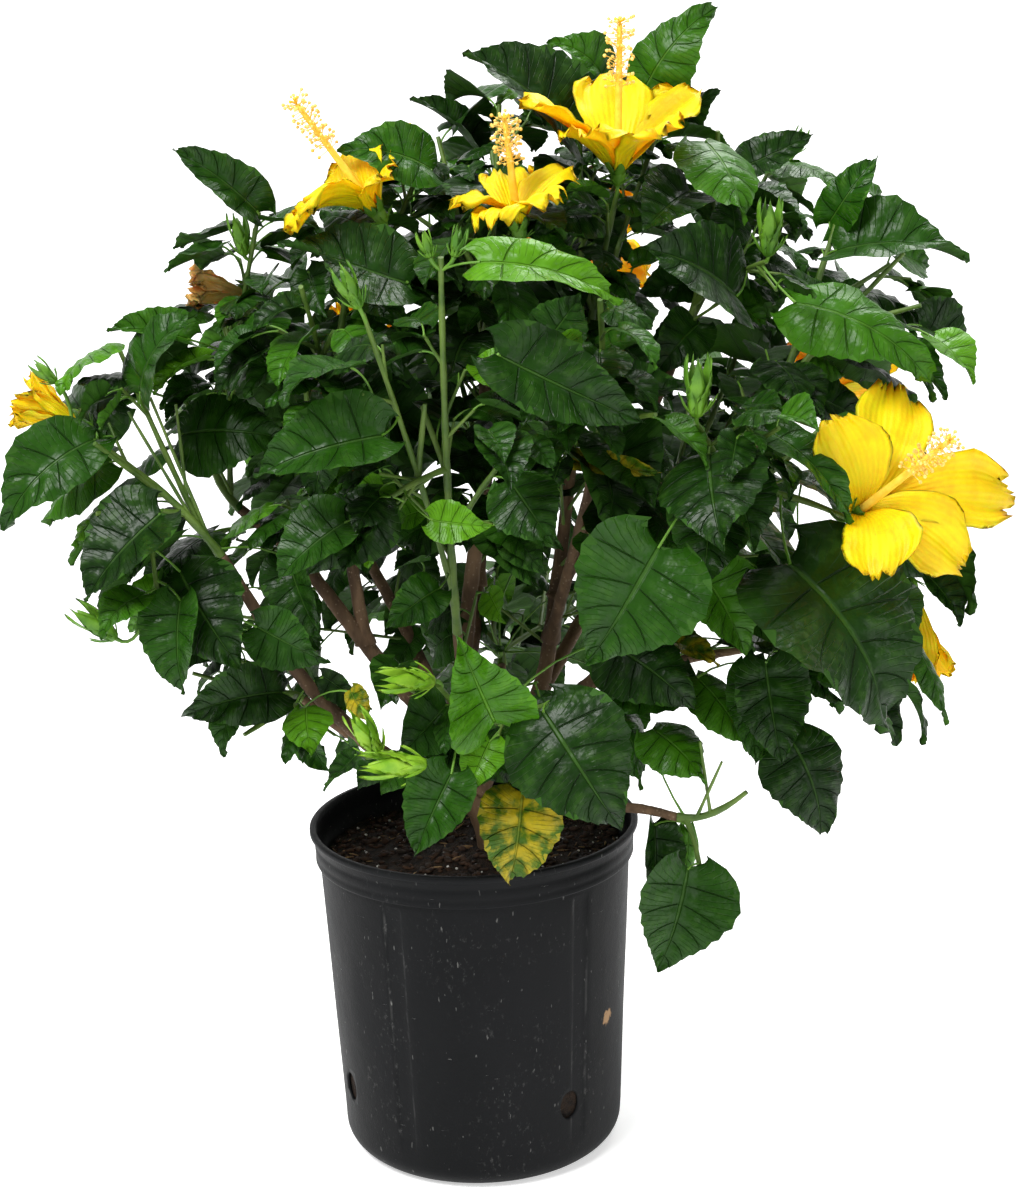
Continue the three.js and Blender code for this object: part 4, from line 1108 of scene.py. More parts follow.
def blade_mesh(name, detail, fold, droop, wave, twist, phase):
    """A blade one unit long, quilted between its veins, toothed and bent; its two skins meet at its edge."""
    rows, columns = 2 * VEINS * detail, 2 * detail
    t, s = np.meshgrid(np.arange(rows) / rows, np.linspace(-1, 1, 2 * columns + 1), indexing="ij")
    tooth = np.where(np.arange(rows) % 2 == 0, -1, 1)[:, None] * abs(s) ** 4
    tooth = tooth * np.clip((t - 0.08) / 0.25, 0, 1)
    reach = LOBE * np.sin(np.pi * t) - NOTCH * (1 - t) ** 6
    y = t + reach * abs(s) ** 1.1 + TOOTH_OUT * tooth
    x = s * np.interp(np.clip(y, -NOTCH, 1), *HALF_WIDTH) * (1 + TOOTH_WIDE * tooth)
    quilt = (0.5 - 0.5 * np.cos(2 * np.pi * VEINS * t)) * np.sin(np.pi * np.clip(abs(s), 0, 1)) ** 0.7
    z = QUILT * quilt * (1 - 0.5 * t) - MIDRIB_SUNK * np.exp(-((s / MIDRIB_WIDTH) ** 2))
    z = z + wave * s**2 * np.sin(2 * np.pi * (1.35 * t + phase) + 1.3 * np.sign(s))
    z = z + 0.3 * wave * abs(s) ** 3 * np.sin(2 * np.pi * (4.3 * t + 2.1 * phase) + 2 * s)
    z = z - TIP_DROP * t**4
    flat = np.vstack([np.stack([x, y, z], -1).reshape(-1, 3), [0, 1.02, -TIP_DROP]])
    marks = np.vstack([np.stack([s, t, abs(s)], -1).reshape(-1, 3), [0, 1, 1]])
    rim = (abs(marks[:, 2] - 1) < 1e-6) | (marks[:, 1] == 0)
    under = flat[~rim] - [0, 0, BLADE_THICKNESS]
    places = bent(np.vstack([flat, under]), fold, droop, twist)
    width = 2 * columns + 1
    last = (rows - 1) * width
    faces = quads(rows, width) + [(last + j, last + j + 1, len(flat) - 1) for j in range(width - 1)]
    mesh = bpy.data.meshes.new(name)
    mesh.from_pydata(places.tolist(), [], faces + flipped(faces, backs_of(rim)))
    mesh.polygons.foreach_set("use_smooth", [True] * len(mesh.polygons))
    add_mark(mesh, "blade", np.vstack([marks, marks[~rim]]))
    add_mark(mesh, "underside", [False] * len(faces) + [True] * len(faces), "BOOLEAN", "FACE")
    ends = np.zeros(len(mesh.edges) * 2, int)
    mesh.edges.foreach_get("vertices", ends)
    on_rim = np.zeros(len(places), bool)
    on_rim[: len(flat)] = rim
    add_mark(mesh, "sharp_edge", on_rim[ends.reshape(-1, 2)].all(1), "BOOLEAN", "EDGE")
    return mesh


def bent(flat, fold, droop, twist):
    """Folds a blade along its midrib, arches and twists it, and lays its tip back on the +Y axis."""
    x, y, z = flat.T
    z = z + fold * (np.sqrt(x**2 + 0.004) - 0.063)
    angle = twist * y
    x, z = x * np.cos(angle) - z * np.sin(angle), x * np.sin(angle) + z * np.cos(angle)
    turn = droop * y
    y, z = np.sin(turn) / droop + z * np.sin(turn), z * np.cos(turn) - (1 - np.cos(turn)) / droop
    places = np.stack([x, y, z], -1)
    tip = places[np.argmax(flat[:, 1])]
    tilt = math.atan2(tip[2], tip[1])
    turned = places @ np.array(Matrix.Rotation(tilt, 3, "X"))
    return turned / turned[np.argmax(flat[:, 1])][1]


def leaf_finish(name, low, high, light, gloss, depth, patchy=False):
    """A waxy leaf: a pale midrib, sunk side veins with painted shade in and beside them, a painted highlight on
    the ridges between them and fine puckers.
    """
    finish = Finish(name, Specular_IOR_Level=0.17)
    _, t, edge = finish.mark("blade").split()
    near = abs((t * VEINS).fraction() - 0.5)
    vein = near.step(0.46, 0.5) * edge.step(0.02, 0.12) * edge.step(1.0, 0.7)
    rib = edge.step(0.05, 0.015)
    branch = abs((t * (5 * VEINS) + edge * 3).fraction() - 0.5).step(0.4, 0.5) * edge.step(0.15, 0.4)
    lines = vein * 0.3 + rib * (1 - t * 0.6)
    mottle = finish.noise(0.025, 3)
    tone = finish.mark("shade", output=2) + (mottle - 0.5) * 0.7
    blotch = finish.noise(0.012, 4).step(0.4, 0.62)
    colour = finish.blend(blotch if patchy else tone.step(0, 1), low, high)
    # Painted highlight: the ridge crests between the side veins are blended, in patches, towards the pale
    # midrib colour.
    ridge = near.step(0.4, 0.08) * finish.noise(0.007, 3).step(0.38, 0.68) * edge.step(0.04, 0.3)
    colour = finish.blend(ridge * 0.3, colour, light)
    colour = finish.blend(rib * (1 - t * 0.6) * 0.6 + branch * 0.1, colour, light)
    # Painted shade: darker in the sunk side veins and in the hollows beside them. The mottle term is the leaf's
    # own tone, varying at random.
    shade = 0.94 + 0.3 * (mottle - 0.5) - 0.3 * vein - 0.12 * near.step(0.2, 0.45)
    finish.feed("Base Color", finish.scaled(colour, shade))
    finish.feed("Roughness", gloss + 0.3 * (finish.noise(0.014, 3) - 0.42) + 0.12 * lines)
    puckers = finish.cells(0.006, "SMOOTH_F1")
    relief = puckers * 0.45 - vein * 0.8 - rib * 0.8 - branch * 0.25 + finish.noise(0.009, 2) * 0.7
    finish.bump(relief, depth)
    return finish.material


# Each tone: the upper face's dark and light green, its midrib, whose pale green is also painted on the ridges
# as a highlight, and the underside.
TONES = {
    "dark": ((0.006, 0.026, 0.002), (0.015, 0.066, 0.003), (0.05, 0.13, 0.015), (0.026, 0.09, 0.006)),
    "green": ((0.014, 0.072, 0.002), (0.036, 0.135, 0.004), (0.085, 0.21, 0.02), (0.045, 0.15, 0.008)),
    "young": ((0.045, 0.17, 0.003), (0.09, 0.26, 0.006), (0.14, 0.34, 0.025), (0.08, 0.25, 0.008)),
    "yellowing": ((0.045, 0.12, 0.004), (0.47, 0.36, 0.012), (0.2, 0.26, 0.03), (0.36, 0.31, 0.02)),
}
# Each blade of the library: fold, droop, wave, twist and the wave's phase.
BENDS = (
    (0.34, 0.6, 0.045, 0.25, 0.1), (-0.2, 0.95, 0.055, -0.3, 0.4), (0.14, 1.15, 0.06, 0.45, 0.7),
    (0.5, 0.45, 0.035, -0.2, 0.2), (-0.36, 0.7, 0.06, 0.4, 0.9), (0.24, -0.25, 0.055, -0.5, 0.55),
)
# How far out in the crown a leaf gets the finer blade, and how near a shoot's tip it is young.
OUTSIDE = 0.55
YOUNG_FROM = 0.88
YOUNG_SHARE = 0.16
LEAF_GLOSS, LEAF_RELIEF = 0.31, 0.0016
UNDER_GLOSS, UNDER_RELIEF = 0.6, 0.0008
PIECE_TRIANGLES = 180000
LEAF_SEED = 71


def leaf_points(name, leaves, kinds, sizes, shades):
    """One bare point a leaf, which says how its blade is turned and sized, its shape and its shade."""
    turns = []
    for leaf in leaves:
        ahead, side, face = blade_axes(leaf["base"], leaf["tip"], leaf["facing"])
        turns += Matrix((side, ahead, face)).transposed().to_euler()
    points = bare_points(name, [leaf["base"] * MM for leaf in leaves], turns, sizes)
    add_mark(points.data, "kind", kinds, "INT")
    add_mark(points.data, "shade", shades, "FLOAT")
    return points


def leaf_growth(name, library, upper, under):
    """A blade from the library on every point."""
    growth = Growth(name, Blades=("Collection", library))
    values = {0: growth.inputs["Blades"], "Separate Children": True, "Reset Children": True}
    blades = growth.node("GeometryNodeCollectionInfo", {"transform_space": "ORIGINAL"}, values)
    return growth.end(growth.strewn(blades, "kind"), upper, under, "underside")


def blade_library():
    """Every bend twice: plain blades first, then the finer ones of the crown's outside."""
    library = bpy.data.collections.new("blades")
    for detail in (1, 2):
        for i, bend in enumerate(BENDS):
            mesh = blade_mesh(f"blade_{detail}{i}", detail, *bend)
            library.objects.link(bpy.data.objects.new(mesh.name, mesh))
    return library


def in_pieces(rows, costs):
    """The rows in even runs, each within a piece's triangles."""
    count = math.ceil(sum(costs[row[1]] for row in rows) / PIECE_TRIANGLES)
    return [[rows[i] for i in run] for run in np.array_split(range(len(rows)), count)]


def leaves_by_tone(width):
    """For each tone, the leaves with their blade of the library, their size and their shade."""
    random = seeded(LEAF_SEED)
    by_tone = {tone: [] for tone in TONES}
    for index, leaf in enumerate(SHRUB.leaves):
        draws = [random() for _ in range(5)]
        fine = leaf["kind"] == "placed" or depth_of(leaf) > OUTSIDE
        kind = int(draws[0] * len(BENDS)) + (len(BENDS) if fine else 0)
        length = np.linalg.norm(leaf["tip"] - leaf["base"]) * MM
        wide = width * mix((0.84, 1.0), draws[1]) * leaf.get("wide", PLACED_WIDTHS.get(index, 1))
        size = np.array([wide, 1, mix((0.8, 1.2), draws[2])]) * length
        by_tone[tone_of(index, leaf, draws[3])].append((leaf, kind, size, draws[4]))
    return by_tone


def grow_leaves(width):
    """The leaves as joined pieces, each of one tone."""
    library = blade_library()
    costs = [sum(len(face.vertices) - 2 for face in blade.data.polygons) for blade in library.objects]
    pieces = []
    for tone, rows in leaves_by_tone(width).items():
        low, high, light, back = TONES[tone]
        upper = leaf_finish(f"leaf_{tone}", low, high, light, LEAF_GLOSS, LEAF_RELIEF, tone == "yellowing")
        under = leaf_finish(f"leaf_{tone}_under", back, back, light, UNDER_GLOSS, UNDER_RELIEF)
        for part, share in enumerate(in_pieces(rows, costs)):
            name = f"{tone}_{part + 1}" if part else tone
            points = leaf_points(f"leaf_points_{name}", *zip(*share))
            growth = leaf_growth(f"leaf_growth_{name}", library, upper, under)
            pieces.append(growth.applied(points, f"leaves_{name}"))
    for blade in list(library.objects):
        bpy.data.objects.remove(blade)
    bpy.data.collections.remove(library)
    return pieces


def tone_of(index, leaf, draw):
    """Young leaves stand at the shoots' tips, dark ones within; a few are given one by one."""
    if leaf["kind"] == "placed":
        return leaf.get("tone", PLACED_TONES.get(index, "dark"))
    if leaf["share"] > YOUNG_FROM and draw < YOUNG_SHARE:
        return "young"
    return "dark" if draw < 1.35 - 0.85 * depth_of(leaf) else "green"


def depth_of(leaf):
    """How far out in the crown a leaf stands: 0 at its middle, 1 at its reach."""
    return np.linalg.norm((leaf["base"] - CROWN_CENTRE) / CROWN_RADII)


# ---------- blooms and buds ----------
PETAL_ROWS, PETAL_COLUMNS = 16, 16
SEPAL_ROWS, SEPAL_COLUMNS = 6, 4
PETAL_THICKNESS = 0.5
# Widths: shares of the length, and the half width there.
PETAL_WIDTH = ((0, 0.1, 0.3, 0.55, 0.75, 0.9, 1), (0.07, 0.11, 0.21, 0.3, 0.34, 0.3, 0.21))
SEPAL_WIDTH = ((0, 0.3, 0.6, 0.85, 1), (0.2, 0.24, 0.2, 0.1, 0.01))
BRACT_WIDTH = ((0, 0.4, 0.8, 1), (0.05, 0.06, 0.035, 0.005))


def sheet(skin, grid, marks, thickness):
    """A thin closed blade over a grid of places, its two faces meeting along the rim."""
    rows, columns = grid.shape[:2]
    normal = np.cross(np.gradient(grid, axis=0), np.gradient(grid, axis=1))
    normal /= np.maximum(np.linalg.norm(normal, axis=2, keepdims=True), 1e-9)
    rim = np.zeros((rows, columns), bool)
    rim[[0, -1]] = rim[:, [0, -1]] = True
    flat, rim = grid.reshape(-1, 3), rim.ravel()
    under = flat + normal.reshape(-1, 3) * thickness
    faces = quads(rows, columns)
    marks = marks.reshape(-1, 3)
    faces += flipped(faces, backs_of(rim))
    skin.add(np.vstack([flat, under[~rim]]), faces, np.vstack([marks, marks[~rim]]))


def petal(skin, foot, start, tip, side, widths, rows, columns, cup,
          breadth=0.0, ruffle=0.0, limp=0.0, phase=0.0):
    """A petal, sepal or bract that leaves its foot by a start and bends to its tip, wide along a side.

    Cup hollows it, ruffle waves it towards its edge and limp lets its tip hang."""
    length = np.linalg.norm(tip - foot)
    breadth = breadth or length
    middle = foot + start * 0.5 * length
    v, u = np.meshgrid(np.linspace(0, 1, rows + 1), np.linspace(-1, 1, columns + 1), indexing="ij")
    along = v * (1 - 0.1 * u**2 * v + 0.5 * ruffle * sine(1.7 * u + phase) * v**3)
    along = along + 0.3 * ruffle * sine(4.6 * u + 3 * phase) * v**6
    along = along[..., None]
    spine = (1 - along) ** 2 * foot + 2 * along * (1 - along) * middle + along**2 * tip
    tangent = 2 * (1 - along) * (middle - foot) + 2 * along * (tip - middle)
    tangent /= np.linalg.norm(tangent, axis=2, keepdims=True)
    face = np.cross(tangent, side)
    wide = u * np.interp(v, *widths) * breadth
    wide = wide * (1 + 0.5 * ruffle * sine(3.1 * v + phase) * v)
    lift = cup * wide**2 / (0.3 * breadth + 14 * v) * (1 - 0.55 * v)
    lift = lift + 0.06 * u * breadth * v * (1 - 0.5 * v)
    lift = lift + ruffle * breadth * v**2 * sine(1.1 * u + 0.6 * v + phase)
    lift = lift + 0.6 * ruffle * breadth * v**5 * sine(3.7 * u + 2 * phase)
    lift = lift + 0.5 * ruffle * breadth * abs(u) ** 3 * v * sine(3.3 * v + 2.7 * phase)
    lift = lift + 0.006 * breadth * np.sin(6 * np.pi * u) * v * (1 - 0.6 * v) - limp * breadth * v**3
    grid = spine + side * wide[..., None] + face * lift[..., None]
    sheet(skin, grid, np.stack([u, v, np.full_like(u, phase)], -1), PETAL_THICKNESS)


def petal_tips(bloom):
    """The five petal tips of a bloom, as its solid has them."""
    way, tilt, far = bloom["way"], bloom["tilt"] * 1.1, bloom["petal"]
    middle = bloom["start"] + way * CALYX + way * far * math.cos(tilt)
    return [middle + spoke(way, angle) * (far * math.sin(tilt) + THROAT_RADIUS)
            for angle in 2 * math.pi * np.arange(PETALS) / PETALS]


# The blooms whose petals are told one by one, each by its tip.
BLOOM_TIPS = {
    0: [[266, -152, 619], [320, -97, 632], [407, -102, 545], [363, -152, 508], [294, -205, 514]],
    1: [[57, -55, 844], [122, 12, 858], [183, -10, 846], [164, -74, 824], [98, -88, 822]],
    2: [[-112, -88, 774], [-116, -112, 764], [-46, -78, 800], [-34, 8, 820], [-74, -38, 812]],
    3: [[5, -106, 784], [28, -140, 774], [72, -128, 788], [80, -80, 802], [38, -52, 800]],
}
BLOOM_FACES = {0: (-0.02, -0.95, 0.4)}
FLARE, FLARES = 0.45, {1: 0.75, 3: 0.55}
RUFFLES = (0.04, 0.05, 0.05, 0.07, 0.13, 0.09, 0.06, 0.05, 0.05, 0.05)
LIMPNESS = (0.0, 0.04, 0.08, 0.22, 0.1, 0.0, 0.0, 0.05, 0.05, 0.05)
WITHERED = 4


def bloom_skin(index, bloom, random):
    skin = Skin()
    way = bloom["way"]
    throat = bloom["start"] + way * CALYX * 0.5
    flare = FLARES.get(index, FLARE)
    for tip in BLOOM_TIPS.get(index, petal_tips(bloom)):
        reach = unit(np.array(tip, float) - throat)
        out = unit(reach - way * (reach @ way))
        side = unit(np.cross(BLOOM_FACES.get(index, way), reach))
        petal(skin, throat + out * 1.5, unit((1 - flare) * way + flare * reach), np.array(tip, float),
              side, PETAL_WIDTH, PETAL_ROWS, PETAL_COLUMNS, 0.5,
              bloom["petal"], RUFFLES[index], LIMPNESS[index], random())
    return skin


def star(skin, foot, way, count, length, spread, widths, turn, bow):
    """A ring of pointed sepals or bracts about a foot, leaning out by a spread in radians."""
    for i in range(count):
        out = spoke(way, 2 * math.pi * i / count + turn)
        tip = foot + way * length * math.cos(spread) + out * (length * math.sin(spread) + 2)
        petal(skin, foot + out * 1.6, unit(way + bow * out), tip, np.cross(way, out), widths,
              SEPAL_ROWS, SEPAL_COLUMNS, 0.9)


def cup_rings(start, way, profile, sides, ribs=0.0):
    """Round sections on a straight axis; every second corner stands out by a share."""
    angles = even_turns(sides)
    corners = ring(np.zeros(3), way, 1, sides) * (1 + ribs * np.cos(PETALS * angles))[:, None]
    return [start + way * far + corners * radius for far, radius in profile]


# How far along, and the radius there: in millimetres, and for a bud in shares of its length.
CUP = ((-0.5, 1.6), (1, 3.6), (4, 5.0), (9, 5.6), (13, 5.2), (16, 3.5))
STAMEN = ((0, 0.3), (4, 0.24), (7.4, 0.22), (7.6, 0.7), (8.4, 1.15), (9.2, 0.8), (9.5, 0.1))
BUD_BODY = ((0, 0.05), (0.03, 0.09), (0.12, 0.13), (0.3, 0.145), (0.5, 0.13), (0.7, 0.09),
            (0.88, 0.045), (0.98, 0.012))
BUD_SEPAL = ((0, 0.3, 0.6, 0.85, 1), (0.15, 0.17, 0.12, 0.05, 0.008))
CUP_SIDES = 20
BRACTS = 7
STAMEN_SPAN = (0.5, 0.98)
STAMEN_LEAN = (-0.1, 0.9)
STAMEN_SIZE = (0.9, 1.35)
STAMEN_SEED = 37


def calyx_skin(bloom, random):
    skin = Skin()
    start, way = bloom["start"], bloom["way"]
    skin.loft(cup_rings(start, way, CUP, CUP_SIDES, 0.06))
    turn = 2 * math.pi * random()
    star(skin, start + way * 4, way, PETALS, 21, 0.42, SEPAL_WIDTH, turn, 0.9)
    star(skin, start, way, BRACTS, 13, 0.95, BRACT_WIDTH, turn + 0.3, 1.2)
    return skin


def bud_skin(bud, random):
    skin = Skin()
    start, way, length = bud["start"], bud["way"], bud["length"]
    profile = [(share * length * 0.86, wide * length) for share, wide in BUD_BODY]
    skin.loft(cup_rings(start, way, profile, CUP_SIDES, 0.09))
    turn = 2 * math.pi * random()
    star(skin, start + way * 0.1 * length, way, PETALS, 0.9 * length, 0.15, BUD_SEPAL, turn, 0.6)
    star(skin, start, way, BRACTS, 0.46 * length, 0.62, BRACT_WIDTH, turn + 0.4, 1.3)
    return skin


def stamen_mesh():
    """One filament with its anther, a few dozen faces, standing on the origin along +Z."""
    skin = Skin()
    skin.loft(cup_rings(np.zeros(3), UP, STAMEN, 5))
    return skin.mesh("stamen")


def stamen_points(blooms, per_bloom):
    """Where the stamens stand, wound round the outer part of each column."""
    places, turns, sizes = [], [], []
    random = seeded(STAMEN_SEED)
    for bloom in blooms:
        way, throat = bloom["way"], bloom["start"] + bloom["way"] * CALYX
        for i in range(per_bloom):
            share = mix(STAMEN_SPAN, (i + random()) / per_bloom)
            lean = unit(spoke(way, math.radians(DIVERGENCE) * i) + way * mix(STAMEN_LEAN, random()))
            places.append((throat + way * share * COLUMN_SHARE * bloom["petal"] * 0.97) * MM)
            turns += Vector(lean).to_track_quat("Z", "Y").to_euler()
            sizes += [mix(STAMEN_SIZE, random())] * 3
    return bare_points("stamen_points", places, turns, sizes)


def scatter_growth(name, source, material):
    """The source object on every point, turned and sized by the point."""
    growth = Growth(name, Source=("Object", source))
    item = growth.node("GeometryNodeObjectInfo", {}, {0: growth.inputs["Source"]}, output=4)
    return growth.end(growth.strewn(item), material)


def petal_finish(name, heart, sheen, edge):
    """Silky petals that let some light through: fine pleats, and a deeper colour at the ruffled edge."""
    finish = Finish(name, Specular_IOR_Level=0.25, Subsurface_Weight=0.4, Subsurface_Scale=0.004)
    u, v, _ = finish.mark("petal").split()
    pleats = finish.node("ShaderNodeMath", {"operation": "SINE"}, {0: u * 40.0 + v * 2.0}) * 0.5 + 0.5
    patch = finish.noise(0.016, 4)
    rim = (v + (patch - 0.5) * 0.25).step(0.86, 1.02) + (abs(u) * v + (patch - 0.5) * 0.3).step(0.86, 1.05)
    colour = finish.blend(patch.step(0.3, 0.62), heart, sheen)
    colour = finish.blend(v.step(0.22, 0.0) * 0.5, colour, edge)
    colour = finish.blend(rim * 0.5, colour, edge)
    finish.feed("Base Color", finish.scaled(colour, 1.0 - 0.08 * pleats * (1 - v * 0.5)))
    finish.feed("Roughness", 0.5 + 0.2 * (patch - 0.5))
    finish.bump(pleats * 0.35 + finish.noise(0.004, 2) * 0.5, 0.0008)
    return finish.material


def plain_finish(name, low, high, size, gloss, depth, specular=0.4):
    """A finish that varies between two colours in soft patches, with a fine grain."""
    finish = Finish(name, Specular_IOR_Level=specular)
    patch = finish.noise(size, 4)
    finish.feed("Base Color", finish.blend(patch.step(0.3, 0.7), low, high))
    finish.feed("Roughness", gloss + 0.25 * (patch - 0.5))
    finish.bump(finish.noise(size / 4, 3), depth)
    return finish.material


# ---------- limbs ----------
BARK_GRAIN = 0.42
SCAR_SPACING = 27
COLLAR = 0.55
LIMB_SIDES, LIMB_STEP = 16, 2.6
BARK_DARK, BARK_LIGHT, BARK_SPECK = (0.06, 0.034, 0.018), (0.18, 0.11, 0.06), (0.3, 0.22, 0.14)


def noise_round(angles, swing, shift, far):
    """Noise round a limb at one place along it."""
    return np.array([noise.noise(Vector((swing * math.cos(a) + shift[0], swing * math.sin(a) + shift[1], far)))
                     for a in angles])


def limb_skin():
    """The trunk and boughs: collars where boughs leave, ridged bark and the scars of old leaves."""
    skin = Skin()
    for order, name in enumerate(SHRUB.limbs):
        curve, _, parent = SHRUB.limbs[name]
        length = curve.length()
        swell = SHRUB.limb_radius(parent, BOUGHS[name][1]) if parent else 0

        def radius_at(share, name=name, length=length, swell=swell):
            away = share * length / (1.5 * swell + 1e-9)
            return SHRUB.limb_radius(name, share) + COLLAR * swell * math.exp(-(away**2))

        def relief(angles, far, order=order):
            ridge = noise_round(angles, 2.2, (0, 7 * order), far / 14)
            grain = noise_round(angles, 5, (9, 0), far / 5 + order)
            near = (far + 9 * order) % SCAR_SPACING - SCAR_SPACING / 2
            facing = np.cos(angles - math.radians(DIVERGENCE) * ((far + 9 * order) // SCAR_SPACING))
            scar = 0.9 * math.exp(-((near / 2.2) ** 2)) * np.clip(facing, 0, 1) ** 2
            return BARK_GRAIN * (ridge + 0.6 * grain) + scar

        tube(skin, curve, radius_at, LIMB_SIDES, LIMB_STEP, relief)
    return skin


def bark_finish():
    finish = Finish("bark", Specular_IOR_Level=0.3)
    patch = finish.noise(0.02, 4, (1, 1, 0.35))
    streak = finish.noise(0.004, 4, (1, 1, 0.2))
    colour = finish.blend(patch.step(0.3, 0.7), BARK_DARK, BARK_LIGHT)
    specks = finish.cells(0.004).step(0.25, 0.1, 0, 0.5)
    colour = finish.blend(specks, colour, BARK_SPECK)
    finish.feed("Base Color", finish.scaled(colour, 0.7 + 0.6 * streak))
    finish.feed("Roughness", 0.7 + 0.2 * streak)
    finish.bump(streak + 0.5 * patch, 0.0012)
    return finish.material


# ---------- pot ----------
# Sunk strips down the wall: the first one's turn and half a strip's width in degrees, the rest in millimetres.
STRIPS = 5
STRIP_FIRST = -30.5
STRIP_HALF = 3.5
STRIP_DEPTH = 0.8
STRIP_SPAN = (30, 240)
WALL_STEP = 6
WALL_WARP = 0.35
# The outside above the wall: radius past the band's, height above its lower edge; then radius past the
# rim's, height above the lip.
BAND_SHAPE = ((-1.3, 0), (-0.9, 1), (-1.1, 4), (-1.5, 6), (-0.9, 7.4), (-0.6, 13), (-1.2, 14.6), (-0.5, 16))
RIM_SHAPE = ((-1, -5), (0, -3.6), (0, -1), (-0.8, 0))
POT_BLACK, POT_GREY = (0.004, 0.0045, 0.005), (0.0085, 0.009, 0.0098)
POT_DUST, POT_SCUFF = (0.22, 0.22, 0.21), (0.33, 0.2, 0.1)
SCUFF = (0.1024, -0.0615, 0.122)


def wall_radius(z):
    return mix((POT_BASE_RADIUS, POT_TOP_RADIUS), z / (POT_HEIGHT - POT_BAND_HEIGHT))


def rounded(radius, bottom, bend, steps=8):
    angles = np.linspace(0, np.pi / 2, steps + 1)
    return [(radius - bend + bend * math.sin(a), bottom + bend - bend * math.cos(a)) for a in angles]


def pot_profiles():
    """Radius and height down the outside, from the middle of the underside to the lip, and back inside."""
    band = POT_HEIGHT - POT_BAND_HEIGHT
    outside = [(30, 0), (60, 0), (85, 0), *rounded(wall_radius(POT_CORNER), 0, POT_CORNER)]
    outside += [(wall_radius(z), z) for z in np.arange(24, band - 4, WALL_STEP)]
    outside += [(wall_radius(band - 4), band - 4), (wall_radius(band) - 0.3, band - 1.2),
                (wall_radius(band), band - 0.6)]
    outside += [(POT_BAND_RADIUS + past, band + up) for past, up in BAND_SHAPE]
    outside.append((POT_BAND_RADIUS, POT_HEIGHT - 6.4))
    outside += [(POT_RIM_RADIUS + past, POT_HEIGHT + up) for past, up in RIM_SHAPE]
    inside = [(POT_BAND_RADIUS - POT_WALL + 0.8, POT_HEIGHT), (POT_BAND_RADIUS - POT_WALL, POT_HEIGHT - 1)]
    inside += [(POT_BAND_RADIUS - 1 - POT_WALL, z) for z in (266, 258, band + 2)]
    inside += [(wall_radius(z) - POT_WALL, z) for z in (band, 200, 150, 100, 50, 24)]
    inside += [*rounded(wall_radius(POT_CORNER) - POT_WALL, POT_WALL, POT_CORNER - POT_WALL)[::-1],
               (60, POT_WALL), (30, POT_WALL)]
    return outside, inside


def pot_angles():
    """Turns about the axis in degrees from the front, closer together along the edges of the strips."""
    turns = list(np.arange(0, 360, 3.0))
    edges = [side * (STRIP_HALF + past) for side in (-1, 1) for past in (-0.5, 0, 0.5)]
    for strip in range(STRIPS):
        turns += [(STRIP_FIRST + strip * 360 / STRIPS + edge) % 360 for edge in edges]
    return np.array(sorted(turns))


def pot_ring(radii, angles, z):
    """A ring about the pot's axis, its angles counted from the front."""
    return np.stack([radii * np.sin(angles), -radii * np.cos(angles), np.full(len(angles), float(z))], -1)


def pot_mesh():
    outside, inside = pot_profiles()
    profile = outside + inside
    turns = pot_angles()
    apart = abs((turns - STRIP_FIRST + 180 / STRIPS) % (360 / STRIPS) - 180 / STRIPS)
    sunk = STRIP_DEPTH * (1 - np.clip((apart - STRIP_HALF + 0.5) / 1.0, 0, 1))
    angles = np.radians(turns)
    rings = []
    for row, (radius, z) in enumerate(profile):
        radii = np.full(len(turns), float(radius))
        if row < len(outside) and POT_CORNER < z < POT_HEIGHT - POT_BAND_HEIGHT - 2:
            ends = min(1, max(0, (z - STRIP_SPAN[0]) / 6)) * min(1, max(0, (STRIP_SPAN[1] - z) / 4))
            radii -= sunk * ends
            radii += WALL_WARP * noise_round(angles, 1.5, (0, 0), z / 90)
        rings.append(pot_ring(radii, angles, z))
    skin = Skin()
    skin.loft(rings)
    return skin.mesh("nursery_pot")


def drain_cutters():
    """Oval rods through the wall, one for each drain hole."""
    skin = Skin()
    for degrees in DRAIN_ANGLES:
        turn = math.radians(degrees)
        out = np.array([math.sin(turn), -math.cos(turn), 0])
        middle = out * wall_radius(DRAIN_HEIGHT) + UP * DRAIN_HEIGHT
        angles = even_turns(28)
        round_ = (np.outer(np.cos(angles), np.cross(UP, out)) * DRAIN_WIDTH / 2
                  + np.outer(np.sin(angles), UP) * DRAIN_TALL / 2)
        skin.loft([middle + out * far + round_ for far in (-9, 9)])
    return linked("drain_cutters", skin.mesh("drain_cutters"))


def recessed(base, cutters, name):
    """The base with the cutters taken out of it, as a plain mesh."""
    modifier = base.modifiers.new("holes", "BOOLEAN")
    modifier.operation, modifier.solver, modifier.object = "DIFFERENCE", "EXACT", cutters
    piece = baked(base, name)
    bpy.data.objects.remove(cutters)
    return piece


